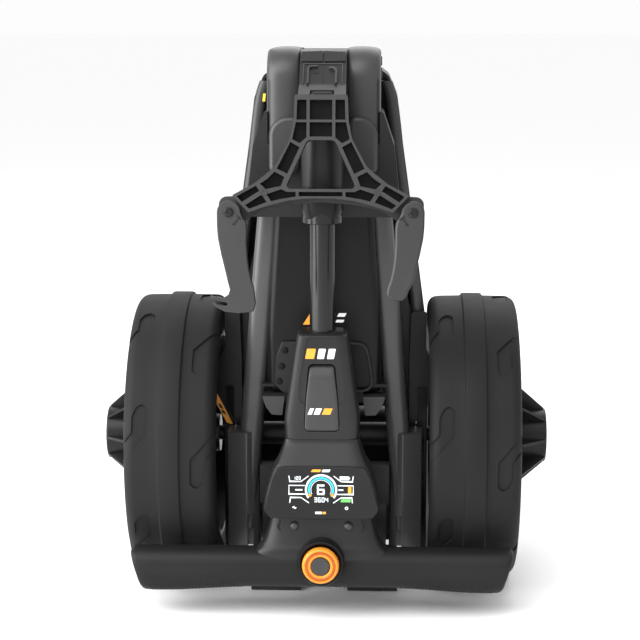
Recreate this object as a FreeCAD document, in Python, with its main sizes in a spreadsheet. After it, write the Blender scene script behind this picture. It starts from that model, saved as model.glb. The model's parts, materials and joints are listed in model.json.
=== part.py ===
import FreeCAD, Part
import Sketcher
import math
import os

# Electric golf trolley with a folding tripod frame, standing on end as it is stored. Millimetres.
# X runs along the rear axle, Y from the handle side to the front-wheel side, Z up.
# The origin is on the floor under the middle of the object.

SIZES = {
    "axle_height": 155, "wheel_radius": 155, "tread_radius": 152, "tyre_bead": 112,
    "tyre_inner": 110, "tyre_outer": 204, "rib_inner": 146, "rib_outer": 168,
    "rim_wall": 5, "axle_radius": 8, "axle_bore": 8.05, "axle_end": 200,
    "hub_radius": 20, "cap_radius": 52, "cap_nose": 29, "cap_wall": 3, "cap_base": 158, "cap_shoulder": 212,
    "cap_tip": 239,
    "button_radius": 12, "button_bore": 12.05, "axle_tube_radius": 12.5, "axle_tube_end": 106,
    "gear_module": 1.2, "gear_teeth": 45, "pinion_teeth": 15, "gear_gap": 36, "gear_width": 10,
    "case_radius": 35, "case_cavity": 31, "pinion_case": 16, "pinion_cavity": 12.5,
    "case_left": -16, "case_right": 12, "cover_right": 16, "motor_radius": 22.5, "motor_end": 84,
    "pinion_shaft": 4, "pinion_bore": 4.05,
    "plate_inner": 90, "plate_outer": 97, "panel_back": -27, "panel_face": -31,
    "leg_width": 25, "leg_depth": 30, "leg_wall": 2, "leg_length": 360, "leg_foot_x": 88, "leg_foot_z": 64,
    "leg_middle": -47, "leg_lean": 5, "socket_inner": 69, "socket_outer": 104, "socket_front": -67,
    "socket_back": -27, "socket_bottom": 44, "socket_top": 170,
    "cross_front": -62, "cross_back": -40, "cross_bottom": 92, "cross_top": 134,
    "foot_inner": 25, "foot_stalk": 66, "foot_outer": 78,
    "yoke_front": -97, "yoke_back": -25, "yoke_bottom": 405, "ear_bottom": 480, "ear_inner": 24,
    "ear_outer": 57, "ear_radius": 25, "lobe_radius": 14, "handle_pin_y": -62, "handle_pin_z": 550,
    "front_pin_y": 5, "front_pin_z": 560, "pin_radius": 5, "pin_bore": 5.05,
    "dome_rise": 8,
    "battery_half": 43, "battery_front": -62, "battery_back": -12, "battery_bottom": 216,
    "battery_top": 398, "panel_half": 60, "panel_front": -76, "tray_back": -8,
    "connector_front": -81, "screw_radius": 3, "catch_front": -90,
    "knuckle_half": 23.5, "knuckle_radius": 24, "sleeve_radius": 21, "sleeve_bottom": 440,
    "sleeve_top": 500, "shaft_y": -130, "shaft_radius": 13, "shaft_bore": 11, "shaft_bottom": 288,
    "flange_radius": 20, "flange_bottom": 404, "flange_top": 414,
    "bracket_y": -152, "bracket_z": 531, "bracket_tilt": -8, "bracket_depth": 20, "bracket_web": 3,
    "cradle_depth": 10, "arm_pivot_x": 90, "arm_pivot_drop": -114.5, "arm_front": -18, "arm_back": -6,
    "lobe_arm": 11.5, "strap_eye": 2.5, "bolt_shank": 3, "bolt_bore": 3.05, "bolt_head": 4.6,
    "stem_front": -152, "stem_back": -108, "stem_cover": -104, "lever_depth": 6, "lever_room": 8.5,
    "lever_pin": 1.5, "lever_bore": 1.56, "lever_pin_y": -148.7, "lever_pin_z": 256.5,
    "display_front": -168, "display_back": -118, "screen_depth": 2,
    "key_radius": 4.4, "key_bore": 4.45, "key_z": 96, "key_x": 27.4,
    "grip_y": -150, "grip_z": 48, "grip_inner": 56, "grip_outer": 190, "core_radius": 11,
    "dial_z": 62.3, "dial_housing_radius": 22.5, "dial_radius": 18.5, "dial_cap_radius": 9.3,
    "dial_bore": 9.35, "dial_base": -168, "dial_step": -181, "dial_front": -190,
    "front_wheel_y": 98.5, "front_wheel_z": 290, "front_wheel_radius": 100, "front_bead": 72,
    "front_half": 27, "front_axle_radius": 5, "fork_inner": 33, "fork_outer": 41,
    "shell_front": -20, "shell_back": 65, "shell_wall": 3, "shell_bottom": 252,
}

doc = FreeCAD.newDocument("golf_trolley")
sheet = doc.addObject("Spreadsheet::Sheet", "Sizes")
for row, (alias, number) in enumerate(SIZES.items(), start=1):
    sheet.set(f"A{row}", alias)
    sheet.set(f"B{row}", str(number))
    sheet.setAlias(f"B{row}", alias)
doc.recompute()

SIDES = (("left", -1), ("right", 1))
NODES = []


def value(entry):
    """A size by its alias, or a plain number as it is."""
    return float(SIZES[entry]) if isinstance(entry, str) else float(entry)


def term(entry):
    """The same size as text for an expression."""
    return f"Sizes.{entry}" if isinstance(entry, str) else f"({float(entry)})"


def node(item, label):
    """Name an object as a sub-part of the trolley."""
    item.Label = label
    NODES.append(item)
    return item


def place(item, x=0.0, y=0.0, z=0.0, axis=(1, 0, 0), angle=0.0):
    """Give an object its place."""
    turn = FreeCAD.Rotation(FreeCAD.Vector(*axis), angle)
    item.Placement = FreeCAD.Placement(FreeCAD.Vector(x, y, z), turn)
    return item


def corner(before, at, after, radius):
    """The tangent arc that rounds one corner: its start, middle and end."""
    to_before = (before - at).normalize()
    to_after = (after - at).normalize()
    half = to_before.getAngle(to_after) / 2
    run = radius / math.tan(half)
    middle_way = (to_before + to_after).normalize()
    centre = at + middle_way * (radius / math.sin(half))
    return at + to_before * run, centre - middle_way * radius, at + to_after * run


def outline(points):
    """Lines and tangent arcs round a closed outline of (u, v) or (u, v, corner radius) points."""
    spots = [FreeCAD.Vector(p[0], p[1], 0) for p in points]
    turns = []
    for i, p in enumerate(points):
        if len(p) == 3:
            turns.append(corner(spots[i - 1], spots[i], spots[(i + 1) % len(spots)], p[2]))
        else:
            turns.append((spots[i], None, spots[i]))
    edges = []
    for i, (start, middle, end) in enumerate(turns):
        if middle is not None:
            edges.append(Part.Arc(start, middle, end))
        following = turns[(i + 1) % len(turns)][0]
        if end.distanceToPoint(following) > 0.001:
            edges.append(Part.LineSegment(end, following))
    return edges


def mirrored(points):
    """A symmetric outline from its right half, given from top to bottom."""
    return points + [(-p[0],) + tuple(p[1:]) for p in reversed(points) if p[0] > 0]


def sided(points, side):
    """An outline on the left or right of the middle plane."""
    return [(side * p[0],) + tuple(p[1:]) for p in points]


def sketch(body, plane, level, loops):
    """A sketch on one of the body's own origin planes, moved to a level along its world axis."""
    made = body.newObject("Sketcher::SketchObject", "Sketch")
    support = [f for f in body.Origin.OriginFeatures if f.Role == plane + "_Plane"][0]
    made.AttachmentSupport = (support, [""])
    made.MapMode = "FlatFace"
    sign = "-1 * " if plane == "XZ" else ""
    made.setExpression("AttachmentOffset.Base.z", sign + "(" + term(level) + ")")
    for loop in loops:
        if loop[0] == "circle":
            centre = FreeCAD.Vector(loop[1], loop[2], 0)
            ring = made.addGeometry(Part.Circle(centre, FreeCAD.Vector(0, 0, 1), value(loop[3])))
            at = made.addConstraint(Sketcher.Constraint("Radius", ring, value(loop[3])))
            made.setExpression(f"Constraints[{at}]", term(loop[3]))
        else:
            made.addGeometry(outline(loop))
    return made


def feature(body, kind, plane, loops, low, high, level):
    """A pad or pocket between two levels along the plane's world axis."""
    made_sketch = sketch(body, plane, level, loops)
    made = body.newObject("PartDesign::" + kind, kind)
    made.Profile = made_sketch
    made.Length = value(high) - value(low)
    made.setExpression("Length", term(high) + " - " + term(low))
    body.Tip = made
    return made


def pad(body, plane, loops, low, high):
    """Add material between two levels."""
    return feature(body, "Pad", plane, loops, low, high, high if plane == "XZ" else low)


def pocket(body, plane, loops, low, high):
    """Take material away between two levels."""
    doc.recompute()
    before = body.Shape.Volume
    made = feature(body, "Pocket", plane, loops, low, high, low if plane == "XZ" else high)
    doc.recompute()
    if not body.Shape.Volume < before - 1:
        raise RuntimeError("a pocket in " + body.Label + " cuts nothing")
    return made


def soften(body, radius, pick):
    """Round the edges that pick chooses from their middle point and direction."""
    doc.recompute()
    chosen = []
    for index, edge in enumerate(body.Shape.Edges, start=1):
        middle = edge.valueAt((edge.FirstParameter + edge.LastParameter) / 2)
        if pick(middle, edge):
            chosen.append(f"Edge{index}")
    tip = body.Tip
    made = body.newObject("PartDesign::Fillet", "Fillet")
    made.Base = (tip, chosen)
    made.Radius = radius
    body.Tip = made
    doc.recompute()
    if not body.Shape.isValid() or "Invalid" in made.State:
        raise RuntimeError("a fillet on " + body.Label + " failed")
    return made


def loose_plate(name, plane, loops, low, high):
    """One outline given thickness, to be joined with others into a sub-part."""
    body = doc.addObject("PartDesign::Body", name)
    pad(body, plane, loops, low, high)
    return body


def plate(label, plane, loops, low, high):
    """A sub-part that is one outline given thickness."""
    return node(loose_plate(label, plane, loops, low, high), label)


def turned(label, points, y, z, direction="X"):
    """A sub-part turned about a line along X through (y, z): points are (along, radius)."""
    body = node(doc.addObject("PartDesign::Body", label), label)
    made_sketch = sketch(body, "XY", 0, [points])
    made = body.newObject("PartDesign::Revolution", "Revolution")
    made.Profile = made_sketch
    made.ReferenceAxis = (made_sketch, ["H_Axis"])
    made.Angle = 360
    body.Tip = made
    return place(body, 0, y, z)


def rod(name, axis, radius, low, high, a, b):
    """A cylinder along X, Y or Z between two levels, at (a, b) on the other two axes."""
    made = doc.addObject("Part::Cylinder", name)
    made.setExpression("Radius", term(radius))
    made.setExpression("Height", term(high) + " - " + term(low))
    if axis == "X":
        return place(made, value(low), value(a), value(b), (0, 1, 0), 90)
    if axis == "Y":
        return place(made, value(a), value(low), value(b), (1, 0, 0), -90)
    return place(made, value(a), value(b), value(low))


def block(name, x, y, z):
    """A box between two levels on each axis."""
    made = doc.addObject("Part::Box", name)
    for prop, (low, high) in zip(("Length", "Width", "Height"), (x, y, z)):
        made.setExpression(prop, term(high) + " - " + term(low))
    return place(made, value(x[0]), value(y[0]), value(z[0]))


def fused(name, shapes):
    """One solid from several."""
    made = doc.addObject("Part::MultiFuse", name)
    made.Shapes = shapes
    made.Refine = True
    return made


def carved(name, base, tools):
    """A solid with others cut out of it."""
    made = doc.addObject("Part::Cut", name)
    made.Base = base
    made.Tool = tools[0] if len(tools) == 1 else fused(name + "_tools", tools)
    made.Refine = True
    return made


# ---------------------------------------------------------------- gears

def gear_points(teeth, backlash=0.16):
    """Points round a spur gear of 25 degree pressure angle, with a tooth along the first axis."""
    module = value("gear_module")
    pressure = math.radians(25)
    pitch_radius = module * teeth / 2
    base = pitch_radius * math.cos(pressure)
    tip = pitch_radius + 0.9 * module
    root = pitch_radius - 1.25 * module
    half_pitch = math.pi / (2 * teeth) - backlash / (2 * pitch_radius)
    spread = half_pitch + math.tan(pressure) - pressure
    radii = [max(base, root) + (tip - max(base, root)) * step / 4 for step in range(5)]
    flank = []
    for radius in radii:
        roll = math.acos(min(1.0, base / radius))
        flank.append((radius, spread - (math.tan(roll) - roll)))
    points = []
    for tooth in range(teeth):
        middle = 2 * math.pi * tooth / teeth
        one_side = [(root, -spread)] * (root < base - 0.01) + [(r, -a) for r, a in flank]
        other_side = [(r, a) for r, a in reversed(flank)] + [(root, spread)] * (root < base - 0.01)
        for radius, angle in one_side + other_side:
            points.append((radius * math.cos(middle + angle), radius * math.sin(middle + angle)))
    return points


def gear_shape(teeth, low, high):
    """A gear disc along X, centred on the X axis, its first tooth along +Y."""
    ring = [FreeCAD.Vector(low, y, z) for y, z in gear_points(teeth)]
    face = Part.Face(Part.makePolygon(ring + ring[:1]))
    return face.extrude(FreeCAD.Vector(high - low, 0, 0))


def geared_shaft(label, teeth, shaft, low, high, y):
    """A shaft along X in one piece with its gear, which sits in the middle of the gear case."""
    start = value("case_left") + 5
    end = start + value("gear_width")
    along = FreeCAD.Vector(1, 0, 0)
    stem_shape = Part.makeCylinder(value(shaft), high - low, FreeCAD.Vector(low, 0, 0), along)
    made = node(doc.addObject("Part::Feature", label), label)
    made.Shape = gear_shape(int(value(teeth)), start, end).fuse(stem_shape)
    return place(made, 0, y, value("axle_height"))


def drive_parts():
    """The drive axle with its gear, and the motor shaft with its pinion."""
    reach = value("axle_end")
    geared_shaft("drive_axle", "gear_teeth", "axle_radius", -reach, reach, 0)
    geared_shaft("motor_pinion", "pinion_teeth", "pinion_shaft", value("case_left") + 5, 60,
                 value("gear_gap"))


# ---------------------------------------------------------------- chassis

def gearbox():
    """The gear case with the left axle tube, the cover with the right one, and the motor."""
    axle = (0, "axle_height")
    motor = ("gear_gap", "axle_height")
    reach = value("axle_tube_end")
    inside = value("case_left") + 3
    outer = fused("case_outer", [
        rod("case_drum", "X", "case_radius", "case_left", "case_right", *axle),
        rod("case_nose", "X", "pinion_case", "case_left", "case_right", *motor),
        rod("case_tube", "X", "axle_tube_radius", -reach, "case_left", *axle),
    ])
    node(carved("gearbox_case", outer, [
        rod("case_hollow", "X", "case_cavity", inside, "case_right", *axle),
        rod("nose_hollow", "X", "pinion_cavity", inside, "case_right", *motor),
        rod("case_bore", "X", "axle_bore", -reach, "case_right", *axle),
    ]), "gearbox_case")
    lid = fused("cover_outer", [
        rod("cover_drum", "X", "case_radius", "case_right", "cover_right", *axle),
        rod("cover_nose", "X", "pinion_case", "case_right", "cover_right", *motor),
        rod("cover_tube", "X", "axle_tube_radius", "cover_right", "axle_tube_end", *axle),
    ])
    node(carved("gearbox_cover", lid, [
        rod("cover_bore", "X", "axle_bore", "case_right", "axle_tube_end", *axle),
        rod("cover_pinion_bore", "X", "pinion_bore", "case_right", "cover_right", *motor),
    ]), "gearbox_cover")
    node(carved("motor_case", rod("motor_drum", "X", "motor_radius", "cover_right", "motor_end", *motor), [
        rod("motor_bore", "X", "pinion_bore", "cover_right", 62, *motor),
    ]), "motor_case")


def leg_solid(name, side, shrink):
    """The leaning box of a leg tube, drawn in by shrink on each side wall."""
    made = doc.addObject("Part::Box", name)
    made.setExpression("Length", f"Sizes.leg_width - {2 * shrink}")
    made.setExpression("Width", f"Sizes.leg_depth - {2 * shrink}")
    made.setExpression("Height", "Sizes.leg_length")
    lean = FreeCAD.Rotation(FreeCAD.Vector(0, 1, 0), -side * value("leg_lean"))
    half = FreeCAD.Vector(-value("leg_width") / 2 + shrink, -value("leg_depth") / 2 + shrink, 0)
    foot = FreeCAD.Vector(side * value("leg_foot_x"), value("leg_middle"), value("leg_foot_z"))
    made.Placement = FreeCAD.Placement(foot + lean.multVec(half), lean)
    return made


def side_frame(word, side):
    """One leg tube in its socket, with the plate that carries the axle tube."""
    wall = value("leg_wall")
    outer = leg_solid("leg_outer_" + word, side, 0)
    node(carved("leg_tube_" + word, outer, [leg_solid("leg_inner_" + word, side, wall)]), "leg_tube_" + word)
    inner, far = sorted((side * value("socket_inner"), side * value("socket_outer")))
    body = block("socket_block_" + word, (inner, far), ("socket_front", "socket_back"),
                 ("socket_bottom", "socket_top"))
    notch = block("socket_notch_" + word, sorted((side * 76, side * 84)), (value("socket_front") - 1, -63.5),
                  (value("socket_bottom") - 1, 82))
    room = leg_solid("leg_room_" + word, side, 0)
    node(carved("socket_" + word, body, [room, notch]), "socket_" + word)
    low, high = sorted((side * value("plate_inner"), side * value("plate_outer")))
    arm = [(-27, 62, 3), (-27, 214), (4, 206, 14), (24, 158, 16), (20, 126, 14), (-6, 66, 4)]
    hole = ("circle", 0, value("axle_height"), "axle_tube_radius")
    web = loose_plate("side_web_" + word, "YZ", [arm, hole], low, high)
    face = [(90, 173), (96, 173, 2), (119, 206, 4), (119, 236, 6), (108, 254, 8), (108, 296, 3),
            (92, 296, 3), (90, 240)]
    front = loose_plate("side_front_" + word, "XZ", [sided(face, side)], "panel_face", "panel_back")
    return fused("side_plate_" + word, [web, front])


def lower_frame():
    """The cross bar between the sockets and the two feet that the trolley stands on."""
    across = value("socket_inner")
    node(block("cross_bar", (-across, "socket_inner"), ("cross_front", "cross_back"),
               ("cross_bottom", "cross_top")), "cross_bar")
    guard = [loose_plate("guard_wall", "XZ", [mirrored([(87, 184, 10), (87, 16, 14)])], 60, 63)]
    for word, side in SIDES:
        guard.append(block("guard_wing_" + word, sorted((side * 87, side * 90)), (14, 63), (66, 176)))
    node(fused("guard_panel", guard), "guard_panel")
    top = value("cross_bottom")
    profile = [(-62, top), (-42, top), (-42, 60, 20), (-50, 0, 3), (-78, 0, 3), (-78, 10, 6), (-64, 44, 20)]
    tab_profile = [(-63, 42), (-44, 42), (-50, 0, 3), (-78, 0, 3), (-78, 10, 6)]
    feet = []
    for word, side in SIDES:
        low, high = sorted((side * value("foot_inner"), side * value("foot_stalk")))
        stalk = loose_plate("foot_stalk_" + word, "YZ", [profile], low, high)
        low, high = sorted((side * value("foot_stalk"), side * value("foot_outer")))
        tab = loose_plate("foot_tab_" + word, "YZ", [tab_profile], low, high)
        feet.append(fused("stand_foot_" + word, [stalk, tab]))
    node(fused("stand_feet", feet), "stand_feet")


def yoke():
    """The flared body that joins the legs, its two hinge ears, their covers and the two hinge pins."""
    floor = value("yoke_bottom")
    seat = value("ear_bottom")
    ear = value("ear_outer")
    half = [(24, seat), (ear, seat), (ear, 521, 2), (62, 508, 20), (72, 478, 20), (80, floor, 6)]
    body = doc.addObject("PartDesign::Body", "yoke_body")
    pad(body, "XZ", [mirrored(half)], "yoke_front", "yoke_back")
    rooms = [leg_solid("yoke_room_" + word, side, 0) for word, side in SIDES]
    node(carved("yoke", body, rooms), "yoke")
    y, z, r = value("handle_pin_y"), value("handle_pin_z"), value("ear_radius")
    back_y, back_z, small = value("front_pin_y"), value("front_pin_z"), value("lobe_radius")
    front, back = value("yoke_front"), value("yoke_back")
    profile = [(front, seat), (front, z + r, r + 8), (back_y + small, back_z + small, small - 0.5),
               (back_y + small, back_z - small, small - 0.5), (back, back_z - small, 14), (back, seat)]
    ears = []
    covers = []
    for word, side in SIDES:
        low, high = sorted((side * value("ear_inner"), side * value("ear_outer")))
        holes = [("circle", y, z, "pin_radius"), ("circle", back_y, back_z, "pin_radius")]
        made = loose_plate("hinge_ear_" + word, "YZ", [profile] + holes, low, high)
        edge = side * value("ear_outer")
        soften(made, 5, lambda m, e: abs(m.x - edge) < 0.1 and m.z > seat + 1
               and math.hypot(m.y - y, m.z - z) > 6 and math.hypot(m.y - back_y, m.z - back_z) > 6)
        ears.append(made)
        arch = [(25, 450, 7), (55.5, 450, 7), (55.5, 508, 20), (25, 508, 7)]
        cover_front = value("yoke_front") - value("dome_rise")
        cover = loose_plate("dome_" + word, "XZ", [sided(arch, side)], cover_front, "yoke_front")
        soften(cover, 5, lambda m, e: m.y < cover_front + 0.1)
        covers.append(cover)
    node(fused("hinge_ears", ears), "hinge_ears")
    node(fused("dome_covers", covers), "dome_covers")
    reach = value("ear_outer")
    node(fused("hinge_pins", [
        rod("handle_pin", "X", "pin_radius", -reach, "ear_outer", "handle_pin_y", "handle_pin_z"),
        rod("front_pin", "X", "pin_radius", -reach, "ear_outer", "front_pin_y", "front_pin_z"),
    ]), "hinge_pins")


def battery():
    """The battery between the legs, its cover in front of them, its tray, connector plate and catches."""
    half = value("battery_half")
    node(block("battery_case", (-half, "battery_half"), ("battery_front", "battery_back"),
               ("battery_bottom", "battery_top")), "battery_case")
    low, top = value("battery_bottom"), value("battery_top")
    wide, seat = value("panel_half"), value("yoke_bottom")
    cover = plate("battery_cover", "XZ",
                  [mirrored([(wide - 8, seat), (wide, low + 60, 30), (wide, low, 8)])],
                  "panel_front", "battery_front")
    soften(cover, 8, lambda m, e: m.y < value("panel_front") + 0.1 and m.z < seat - 1)
    backing = mirrored([(62, top + 34, 6), (89.8, 300, 30), (89.8, 192, 4)])
    plate("battery_tray", "XZ", [backing], "battery_back", "tray_back")
    face = mirrored([(44, 272, 6), (50, 256, 6), (52.5, 227, 5), (43, 217, 4)])
    plate("connector_plate", "XZ", [face], "connector_front", "panel_front")
    screws = [rod(f"screw_{word}_{i}", "Y", "screw_radius", value("connector_front") - 1.5, "connector_front",
                  side * x, z) for word, side in SIDES for i,
                  (x, z) in enumerate(((41, 263), (44.5, 246), (47, 230)))]
    node(fused("connector_screws", screws), "connector_screws")
    wedge = [(41, 215.5), (64.5, 215.5, 1), (60.5, 204, 2), (54.5, 196, 1), (43.5, 195.5, 1)]
    node(fused("battery_catches", [
        loose_plate("battery_catch_" + word, "XZ", [sided(wedge, side)], "catch_front", -64)
        for word, side in SIDES]), "battery_catches")


# ---------------------------------------------------------------- wheels

def rear_wheel(word, side):
    """Tyre, rim, hub cap and release button of one rear wheel."""
    inner, outer = value("tyre_inner"), value("tyre_outer")
    bead, tread, crown = value("tyre_bead"), value("tread_radius"), value("wheel_radius")
    rib_in, rib_out = value("rib_inner"), value("rib_outer")
    z = value("axle_height")
    tyre = [(inner + 4, bead), (inner, bead + 14, 8), (inner + 1, tread - 6, 6), (inner + 12, tread, 8),
            (rib_in - 3, tread), (rib_in, crown), (rib_out, crown), (rib_out + 3, tread),
            (outer - 12, tread, 8), (outer - 1, tread - 6, 6), (outer, bead + 14, 8), (outer - 4, bead),
            (outer - 16, bead), (outer - 9, bead + 14, 8), (outer - 9, tread - 14, 8),
            (outer - 14, tread - 9),
            (inner + 14, tread - 9), (inner + 9, tread - 14, 8), (inner + 9, bead + 14, 8),
            (inner + 16, bead)]
    turned("tyre_" + word, sided(tyre, side), 0, z)
    barrel = bead - value("rim_wall")
    bore, hub = value("axle_bore"), value("hub_radius")
    rim = [(inner + 4, bead), (inner + 4, barrel), (150, barrel), (150, hub + 8), (116, hub), (116, bore),
           (156, bore), (156, hub), (158, hub), (158, barrel), (outer - 4, barrel), (outer - 4, bead)]
    turned("rim_" + word, sided(rim, side), 0, z)
    hub_cap(word, side)
    tip = value("cap_tip")
    low, high = sorted((side * (tip - 10), side * (tip - 1)))
    node(rod("wheel_button_" + word, "X", "button_radius", low, high, 0, "axle_height"),
         "wheel_button_" + word)


def hub_cap(word, side):
    """The quick-release cap: a socketed barrel with gussets that slope from the rim to its nose."""
    base, tip, wall = value("cap_base"), value("cap_tip"), value("cap_wall")
    wide, nose, room = value("cap_radius"), value("cap_nose"), value("button_bore")
    barrel = [(base, nose), (tip, nose, 2), (tip, room), (tip - 14, room), (tip - 14, 9), (tip - 17, 9),
              (tip - 17, nose - wall), (base + wall, nose - wall), (base + wall, 10), (base, 10)]
    cap = turned("hub_cap_" + word, sided(barrel, side), 0, value("axle_height"))
    gusset = [(base, nose - wall / 2), (base, wide), (value("cap_shoulder"), wide, 3), (tip - 2, nose + 1),
              (tip - 4, nose - wall / 2)]
    pad(cap, "XY", [sided(gusset, side)], -wall / 2, wall / 2)
    tip_feature = cap.Tip
    around = cap.newObject("PartDesign::PolarPattern", "PolarPattern")
    around.Originals = [tip_feature]
    around.Axis = ([f for f in cap.Origin.OriginFeatures if f.Role == "X_Axis"][0], [""])
    around.Angle = 360
    around.Occurrences = 8
    cap.Tip = around


def front_wheel():
    """Tyre and rim of the front wheel."""
    half, radius, bead = value("front_half"), value("front_wheel_radius"), value("front_bead")
    y, z = value("front_wheel_y"), value("front_wheel_z")
    tyre = [(-half, bead), (-half, radius - 8, 8), (-half + 12, radius - 1, 8), (-8, radius - 1),
            (-6, radius),
            (6, radius), (8, radius - 1), (half - 12, radius - 1, 8), (half, radius - 8, 8), (half, bead)]
    turned("front_tyre", tyre, y, z)
    bore = value("front_axle_radius") + 0.05
    rim = [(-half, bead), (-half, bead - 4), (-6, bead - 4), (-6, 16), (-30, 16), (-30, bore), (30, bore),
           (30, 16), (6, 16), (6, bead - 4), (half, bead - 4), (half, bead)]
    turned("front_rim", rim, y, z)


# ---------------------------------------------------------------- handle frame

def slope(drop):
    """How far the tilted bracket's back has come forward at a drop below its top."""
    return value("bracket_y") + drop * math.tan(math.radians(value("bracket_tilt")))


def knuckle():
    """The knuckle on the handle pin, its sleeve, the shaft tube and the flange on it."""
    y, z = value("handle_pin_y"), value("handle_pin_z")
    r, half = value("knuckle_radius"), value("knuckle_half")
    top, low = value("bracket_z"), value("sleeve_top")
    profile = [(y + r, z + r, r - 1), (y + r, z - r, r - 1), (-104, low, 10), (slope(top - low), low),
               (slope(0), top), (-128, top + 10, 16), (y - r, z + r, 22)]
    body = loose_plate("knuckle_body", "YZ", [profile, ("circle", y, z, "pin_bore")], -half, "knuckle_half")
    pocket(body, "YZ", [[(-160, low + 12), (-139, low + 12), (-139, top + 20), (-160, top + 20)]], -12, 12)
    shaft = (0, "shaft_y")
    sleeve = rod("sleeve_outer", "Z", "sleeve_radius", "sleeve_bottom", "sleeve_top", *shaft)
    socket_hole = rod("sleeve_hole", "Z", "shaft_radius", "sleeve_bottom", value("sleeve_bottom") + 40,
                      *shaft)
    node(carved("knuckle", fused("knuckle_cast", [body, sleeve]), [socket_hole]), "knuckle")
    tube = rod("shaft_outer", "Z", "shaft_radius", "shaft_bottom", value("sleeve_bottom") + 40, *shaft)
    ring = rod("flange_outer", "Z", "flange_radius", "flange_bottom", "flange_top", *shaft)
    hollow = rod("shaft_hollow", "Z", "shaft_bore", "shaft_bottom", value("sleeve_bottom") + 40, *shaft)
    node(carved("shaft_tube", fused("shaft_cast", [tube, ring]), [hollow]), "shaft_tube")
    button = plate("fold_button", "XZ", [mirrored([(10.5, top + 4, 3), (10.5, low + 13, 6)])], -151, -142.5)
    soften(button, 1.5, lambda m, e: m.y < -150.9)


def bracket_frame(item):
    """Lean a piece that is drawn upright from the top of the bag bracket."""
    return place(item, 0, value("bracket_y"), value("bracket_z"), (1, 0, 0), value("bracket_tilt"))


def bag_bracket():
    """The ribbed wishbone with its window, the cradle behind it, and the two strap arms."""
    depth = value("bracket_depth")
    right = [(25.7, 0, 2), (26.8, -26, 8), (30.3, -43, 20), (45, -70.5, 20), (64.8, -86.4, 12),
             (86.4, -98, 1),
             (70.6, -114.6, 1), (54, -109, 40), (32, -103, 60), (12, -100.8, 60)]
    body = plate("bag_bracket", "XZ", [mirrored(right)], -depth, 0)
    window = mirrored([(13.6, -44.1, 6), (34.9, -91.6, 3.5)])
    pocket(body, "XZ", [window], -depth - 1, 1)
    cells = [[(-11, -5), (11, -5), (11, -24.4), (-11, -24.4)],
             [(-11, -26.8), (11, -26.8), (11, -40.8), (-11, -40.8)],
             [(-21.3, -94.6), (21.3, -94.6), (21.3, -98.8), (-21.3, -98.8)]]
    for _, side in SIDES:
        for cell in (
            [(14, -5), (23.2, -5), (23.8, -24.4), (14, -24.4)],
            [(14, -26.8), (24.4, -26.8), (28, -43.4), (20.7, -47.3), (14, -41.6)],
            [(20.7, -51.2), (29.6, -46), (42.8, -72), (32.6, -77)],
            [(45, -75), (52.1, -82), (59.2, -86.6), (53.5, -92), (38.8, -89), (35.4, -80)],
            [(63.1, -88.6), (81.8, -99), (76.8, -104.6), (59.6, -93.6)],
            [(57.4, -97.3), (73.6, -107.6), (69.4, -111.2), (52.6, -104.6)],
            [(52.8, -96.9), (48.2, -103.8), (39.4, -101.6), (24.2, -99.2), (24.2, -94.6), (33, -94.6),
             (38.6, -92)],
        ):
            cells.append(sided(cell, side))
    pocket(body, "XZ", cells, -depth - 1, -value("bracket_web"))
    bracket_frame(body)
    x, drop = value("arm_pivot_x"), value("arm_pivot_drop")
    rest = [(30, -92, 4), (x - 8, -98, 10), (x + 11, -99, 8), (x + 11, -125, 8), (x - 11, -125, 6),
            (60, -112, 30), (30, -106, 40), (0.5, -104, 0.2)]
    cradle = plate("bag_cradle", "XZ", [mirrored(rest)], 0, "cradle_depth")
    boss = [("circle", side * x, drop, 8) for _, side in SIDES]
    pad(cradle, "XZ", boss, value("arm_back"), 0)
    pocket(cradle, "XZ", [("circle", side * x, drop, "bolt_shank") for _, side in SIDES],
           value("arm_back") - 1, "cradle_depth")
    bracket_frame(cradle)
    bolts = []
    fingers = ([(-84, -191), (-96, -187, 8), (-107, -186, 1), (-107, -189, 1), (-97, -191, 8), (-84, -197)],
               [(-84, -199), (-95, -196, 8), (-105, -196, 1), (-105, -199, 1), (-96, -200, 8), (-84, -205)])
    for word, side in SIDES:
        lobe = value("lobe_arm")
        arm = [(x - lobe, drop + lobe, 11), (x + lobe, drop + lobe, 11), (x + lobe, -127, 10),
               (x + 9.5, -147, 60), (x + 1, -181, 20), (x - 1.5, -189, 8), (x - 2, -207, 3), (62, -207, 3),
               (64, -191, 3),
               (68, -186, 6), (71.8, -160, 30), (72.8, -139, 20), (72.2, -122, 6), (x - lobe, -118, 3)]
        holes = [("circle", side * x, drop, "bolt_bore")]
        if side > 0:
            holes.append(("circle", 76, -198, "strap_eye"))
        made = loose_plate("arm_" + word, "XZ", [sided(arm, side)] + holes, "arm_front", "arm_back")
        soften(made, 2, lambda m, e: m.y < value("arm_front") + 0.1
               and math.hypot(m.x - side * x, m.z - drop) > 5 and math.hypot(m.x - 76, m.z + 198) > 4)
        if side < 0:
            hooks = [loose_plate(f"hook_{i}", "XZ", [finger], -14, -9) for i, finger in enumerate(fingers)]
            made = fused("hooked_arm", [made] + hooks)
        bracket_frame(node(made, "strap_arm_" + word))
        bolts.append(rod("bolt_shank_" + word, "Y", "bolt_shank", "arm_front", "cradle_depth", side * x,
                         drop))
        bolts.append(rod("bolt_head_" + word, "Y", "bolt_head", value("arm_front") - 2, "arm_front",
                         side * x, drop))
    bracket_frame(node(fused("arm_bolts", bolts), "arm_bolts"))


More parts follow.
